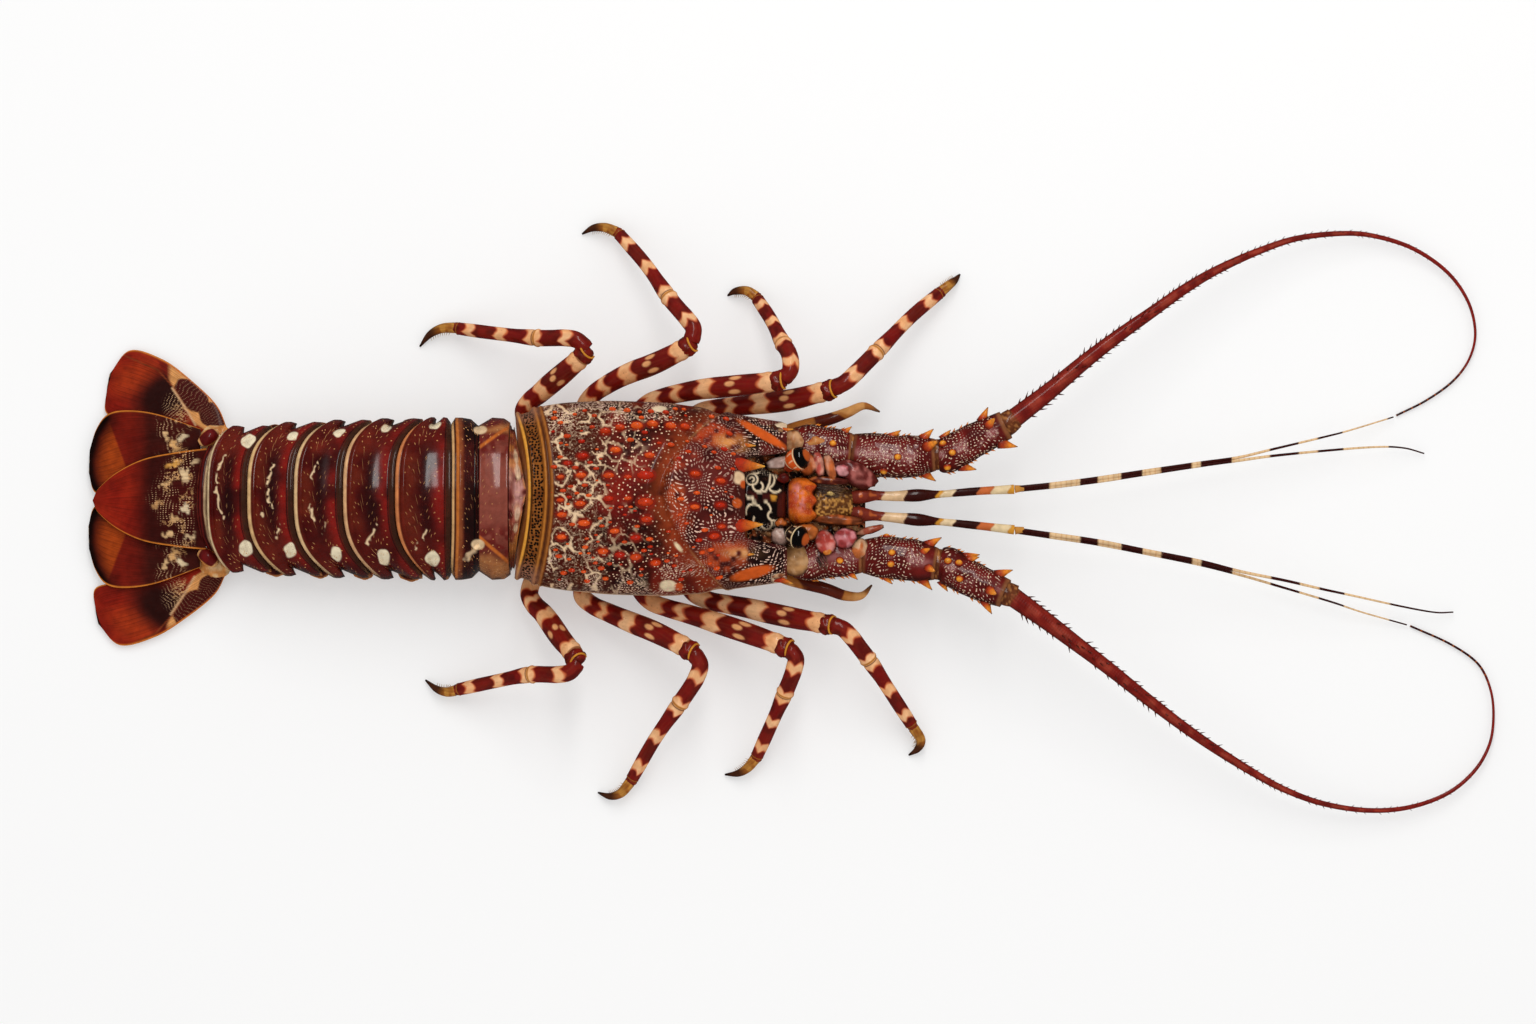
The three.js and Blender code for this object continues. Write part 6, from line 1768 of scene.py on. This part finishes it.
legLooks = {
    "thighRadii": [4.4, 3.8, 3.7, 4, 4.4, 4.3, 3.8], "shinRadii": [3.2, 3.5, 3.4, 3.4, 2.9, 2.8, 2.8, 2.6],
    "clawRadii": [2.2, 1.9, 1.4, 0.35],
    "thighBands": [(0.14, 0.26), (0.36, 0.415), (0.475, 0.565), (0.665, 0.915)], "beads": 0.765,
    "shinBands": [(-1, 0.125), (0.2, 0.345), (0.465, 0.62), (0.71, 0.86), (0.945, 1.1)],
    "scallop": 0.015, "wrist": 0.4, "kneeCap": (8.2, 8.6, 8.2), "cuff": (4.6, 4.6, 4.4),
    "bristle": (0.34, 0.34, 1.5), "rows": 200, "columns": 60,
}
legLips = {  # the golden lips: radius, thickness, degrees to each side, colour
    "knee": (3.5, 0.42, 110, "#e0952e"),
    "shinEnd": (2.3, 0.3, 120, "#a8611f"),
    "wrist": (3.05, 0.42, 130, "#e8a466"),
}


def evenRoute(points, count=12):
    # the same route with its points at equal steps of length
    shares = np.linspace(0, 1, 200)
    lengths = np.concatenate([[0],
                              np.cumsum(np.linalg.norm(np.diff(curve(points, shares), axis=0), axis=1))])
    return curve(points, np.interp(np.linspace(0, lengths[-1], count), lengths, shares))


def bandedPaint(along, angle, bands, seed):
    # peach shell with scalloped maroon bands
    wave = legLooks["scallop"] * (np.abs(np.sin(2 * angle + seed)) * 2 - 1)
    place = along + wave + 0.012 * (blotch(along * 40, angle * 2, 1, seed) - 0.5)
    patch = blotch(along * 30, angle * 2, 2, seed + 3)
    paint = coat(plain("#f5ac70", along.shape), "#fdc894", patch)
    # painted shade: more orange towards the sides and underneath
    coat(paint, "#d98c50", 0.5 * smooth(np.abs(angle), 0.9, 1.5))
    halo = np.zeros(along.shape)
    maroon = np.zeros(along.shape)
    for start, end in bands:
        halo = np.maximum(halo, band(place, start - 0.012, end + 0.012, 0.008))
        maroon = np.maximum(maroon, band(place, start, end, 0.007))
    coat(paint, "#c8481c", 0.85 * halo)
    coat(paint, "#7a0f0a", maroon)
    coat(paint, "#470807", 0.6 * maroon * smooth(patch, 0.3, 0.8))
    return paint, maroon


def lip(kind, middle, axis):
    radius, thickness, reach, code = legLips[kind]
    points = hoop(middle, axis, radius, thickness, reach)
    return points, plain(code, points.shape[:2])


def makeKnee(name, thighRoute, shinRoute, clawRoute):
    # a cap over the knee, a cuff at the claw, and golden lips at the knee, the wrist and the shin's end
    thighEnd, shinEnd = thighRoute[-1], shinRoute[-1]
    middle = (thighEnd + shinRoute[0]) / 2
    upper = unit(thighEnd - thighRoute[-2])
    turn = math.degrees(math.atan2(upper[1], upper[0]))
    cuffMiddle = (shinEnd + np.array(clawRoute[0])) / 2
    cap, cuff = legLooks["kneeCap"], legLooks["cuff"]
    # the cap and the cuff are darker underneath: painted shade
    caps = [pebble(middle - upper * 1.2, cap, turn, "#7a0f0a", "#5a0a08", "#4a0a08", 0.1, 191),
            pebble(cuffMiddle, cuff, 0, "#6a120c", "#8a3414", "#4a0a08", 0.1, 192)]
    finishPiece(mergeSkins(name + "_caps", caps), "leg", legFinish)
    wrist, forward, right, up = (part[0, 0] for part in Path(shinRoute).at(np.array([[legLooks["wrist"]]])))
    lips = [lip("knee", middle + upper * 1.6, upper), lip("shinEnd", shinEnd, shinEnd - shinRoute[-2]),
            lip("wrist", wrist, forward)]
    finishPiece(mergeSkins(name + "_lips", lips), "leg", clawFinish)


def makeBristles(name, clawRoute):
    # short stiff hairs on the inner side of the claw
    share = np.linspace(0.12, 0.7, 9)[:, None]
    centre, forward, right, up = (part[:, 0] for part in Path(clawRoute).at(share))
    ahead, behind = curve(clawRoute, share + 0.1)[:, 0], curve(clawRoute, np.maximum(share - 0.1, 0))[:, 0]
    bend = ahead + behind - 2 * centre
    side = np.sign(np.einsum("ij,ij->i", bend, right).sum()) * right
    places = centre + side * curve(legLooks["clawRadii"], share) * 0.85
    thing = sprout(name + "_bristles", thornTree, bristleFinish, places, side + 0.35 * forward, forward,
                   legLooks["bristle"], bend=0.1, pointWidth=0.1)
    finishPiece(thing, "claw", bristleFinish)


def makeLegs():
    for number, (name, shape) in enumerate(legs.items()):
        heights = legHeights["front" if name.endswith("1") else "other"]
        along, angle = gridOf(legLooks["rows"], legLooks["columns"])
        thighRoute = evenRoute(lifted(shape["thigh"], heights["thigh"]))
        knee = 0.35 * hump(along, 0.955, 0.02)
        points = tubePoints(thighRoute, legLooks["thighRadii"], along, angle, 1.0, knee[..., None] - 0.1)
        paint, maroon = bandedPaint(along, angle, legLooks["thighBands"], 110 + number)
        for turn, place in ((-0.75, 0.02), (-0.15, -0.008), (0.7, 0.012)):
            middle, long = (legLooks["beads"] + place) * 60, 1.5 + 0.5 * abs(turn)
            coat(paint, "#f0ac72", spot(along * 60, angle * 4, middle, turn * 4, long, 1.0, 0, 0.3))
        coat(paint, "#8a4a20", 0.9 * smooth(along, 0.985, 0.995))
        grain = grainOf(along.shape, 2, 0.3 * (1 - maroon))
        finishPiece(skin(name + "_upper", points, paint, grain), "leg", legFinish, name + "_thigh")

        wrist = legLooks["wrist"]
        shinRoute = evenRoute(lifted(shape["shin"], heights["shin"]))
        relief = 0.35 * hump(along, wrist - 0.012, 0.012) - 0.3 * hump(along, wrist + 0.012, 0.01)
        relief = relief + 0.25 * hump(along, 0.03, 0.02)
        points = tubePoints(shinRoute, legLooks["shinRadii"], along, angle, 1.0, relief[..., None] - 0.1)
        paint, maroon = bandedPaint(along, angle, legLooks["shinBands"], 130 + number)
        coat(paint, "#c07a2e", band(along, wrist - 0.015, wrist + 0.008, 0.004))
        coat(paint, "#5c2c12", band(along, wrist + 0.01, wrist + 0.016, 0.003))
        finishPiece(skin(name + "_lower", points, paint, grain), "leg", legFinish, name + "_shin")

        along, angle = gridOf(90, 40)
        clawRoute = lifted(shape["claw"], legHeights["claw"])
        points = tubePoints(clawRoute, legLooks["clawRadii"], along, angle)
        paint = coat(plain("#c98a3a", along.shape), "#a8611f",
                     patches(along * 20, angle * 2, 2, 150, 0.4, 0.7))
        coat(paint, "#4a2410", smooth(along, 0.3, 0.62))
        coat(paint, "#24120b", smooth(along, 0.8, 0.97))
        finishPiece(skin(name + "_toe", points, paint), "claw", clawFinish, name + "_claw")
        makeKnee(name, thighRoute, shinRoute, clawRoute)
        makeBristles(name, clawRoute)


shortLegs = {
    "left": [(42, 14.5), (51, 22.4), (60, 27.6), (75.9, 31.9), (83, 34.6), (89.6, 37.6), (95.9, 35.8)],
    "right": [(42, -16.5), (50, -26), (58, -31.4), (73.9, -36.1), (81.9, -38.8), (88.4, -38.6),
              (92.7, -34.1)],
    "heights": [9.5, 11.5, 13.6, 16, 15.2, 12, 7], "radii": [2.8, 2.8, 2.7, 2.4, 2.1, 1.5, 0.4],
}


def makeShortLegs():
    for side in ("left", "right"):
        along, angle = gridOf(200, 40)
        points = tubePoints(lifted(shortLegs[side], shortLegs["heights"]), shortLegs["radii"], along, angle)
        x, y = points[..., 0], points[..., 1]
        patch = blotch(x, y, 4, 161)
        paint = coat(plain("#b8702f", along.shape), "#e0a05c", smooth(patch, 0.4, 0.7))
        coat(paint, "#5a1c10", patches(x, y, 6, 162, 0.5, 0.62) * (1 - smooth(along, 0.7, 0.76)))
        coat(paint, "#6b4a30", smooth(along, 0.88, 0.98))
        finishPiece(skin(f"feeding_leg_{side}", points, paint), "leg", legFinish, f"short_leg_{side}")


legRoots = {"size": (9.6, 11, 9.2), "inward": 2.2, "back": 1, "height": 8.8}


def makeLegRoots():
    # the short joints between the breast plate and the legs
    starts = [shape["thigh"][0] for shape in legs.values()]
    starts += [shortLegs[side][0] for side in ("left", "right")]
    roots = []
    for number, (x, y) in enumerate(starts):
        middle = (x - legRoots["back"], y - legRoots["inward"] * np.sign(y), legRoots["height"])
        roots.append(pebble(middle, legRoots["size"], 0, "#c98d63", "#8a2a18", "#c98d63", -1.2,
                            210 + number))
    finishPiece(mergeSkins("leg_roots", roots), "leg", legFinish)


makeLegs()
makeShortLegs()
makeLegRoots()
print("legs made")

floor = {"shade": (0.6, 0.6, 0.6, 1), "glow": 0.36, "half": 6000}  # its glow keeps the shadows pale


def makeFloor():
    half = floor["half"] * millimetre
    mesh = bpy.data.meshes.new("floor")
    mesh.from_pydata([(-half, -half, 0), (half, -half, 0), (half, half, 0), (-half, half, 0)], [],
                     [(0, 1, 2, 3)])
    thing = bpy.data.objects.new("floor", mesh)
    bpy.context.scene.collection.objects.link(thing)
    thing.visible_glossy = False
    material = bpy.data.materials.new("pale floor")
    material.use_nodes = True
    shader = material.node_tree.nodes["Principled BSDF"]
    shader.inputs["Base Color"].default_value = floor["shade"]
    shader.inputs["Emission Color"].default_value = (1, 1, 1, 1)
    shader.inputs["Emission Strength"].default_value = floor["glow"]
    shader.inputs["Roughness"].default_value = 0.7
    shader.inputs["Specular IOR Level"].default_value = 0.2
    mesh.materials.append(material)


makeFloor()
print("pieces finished")
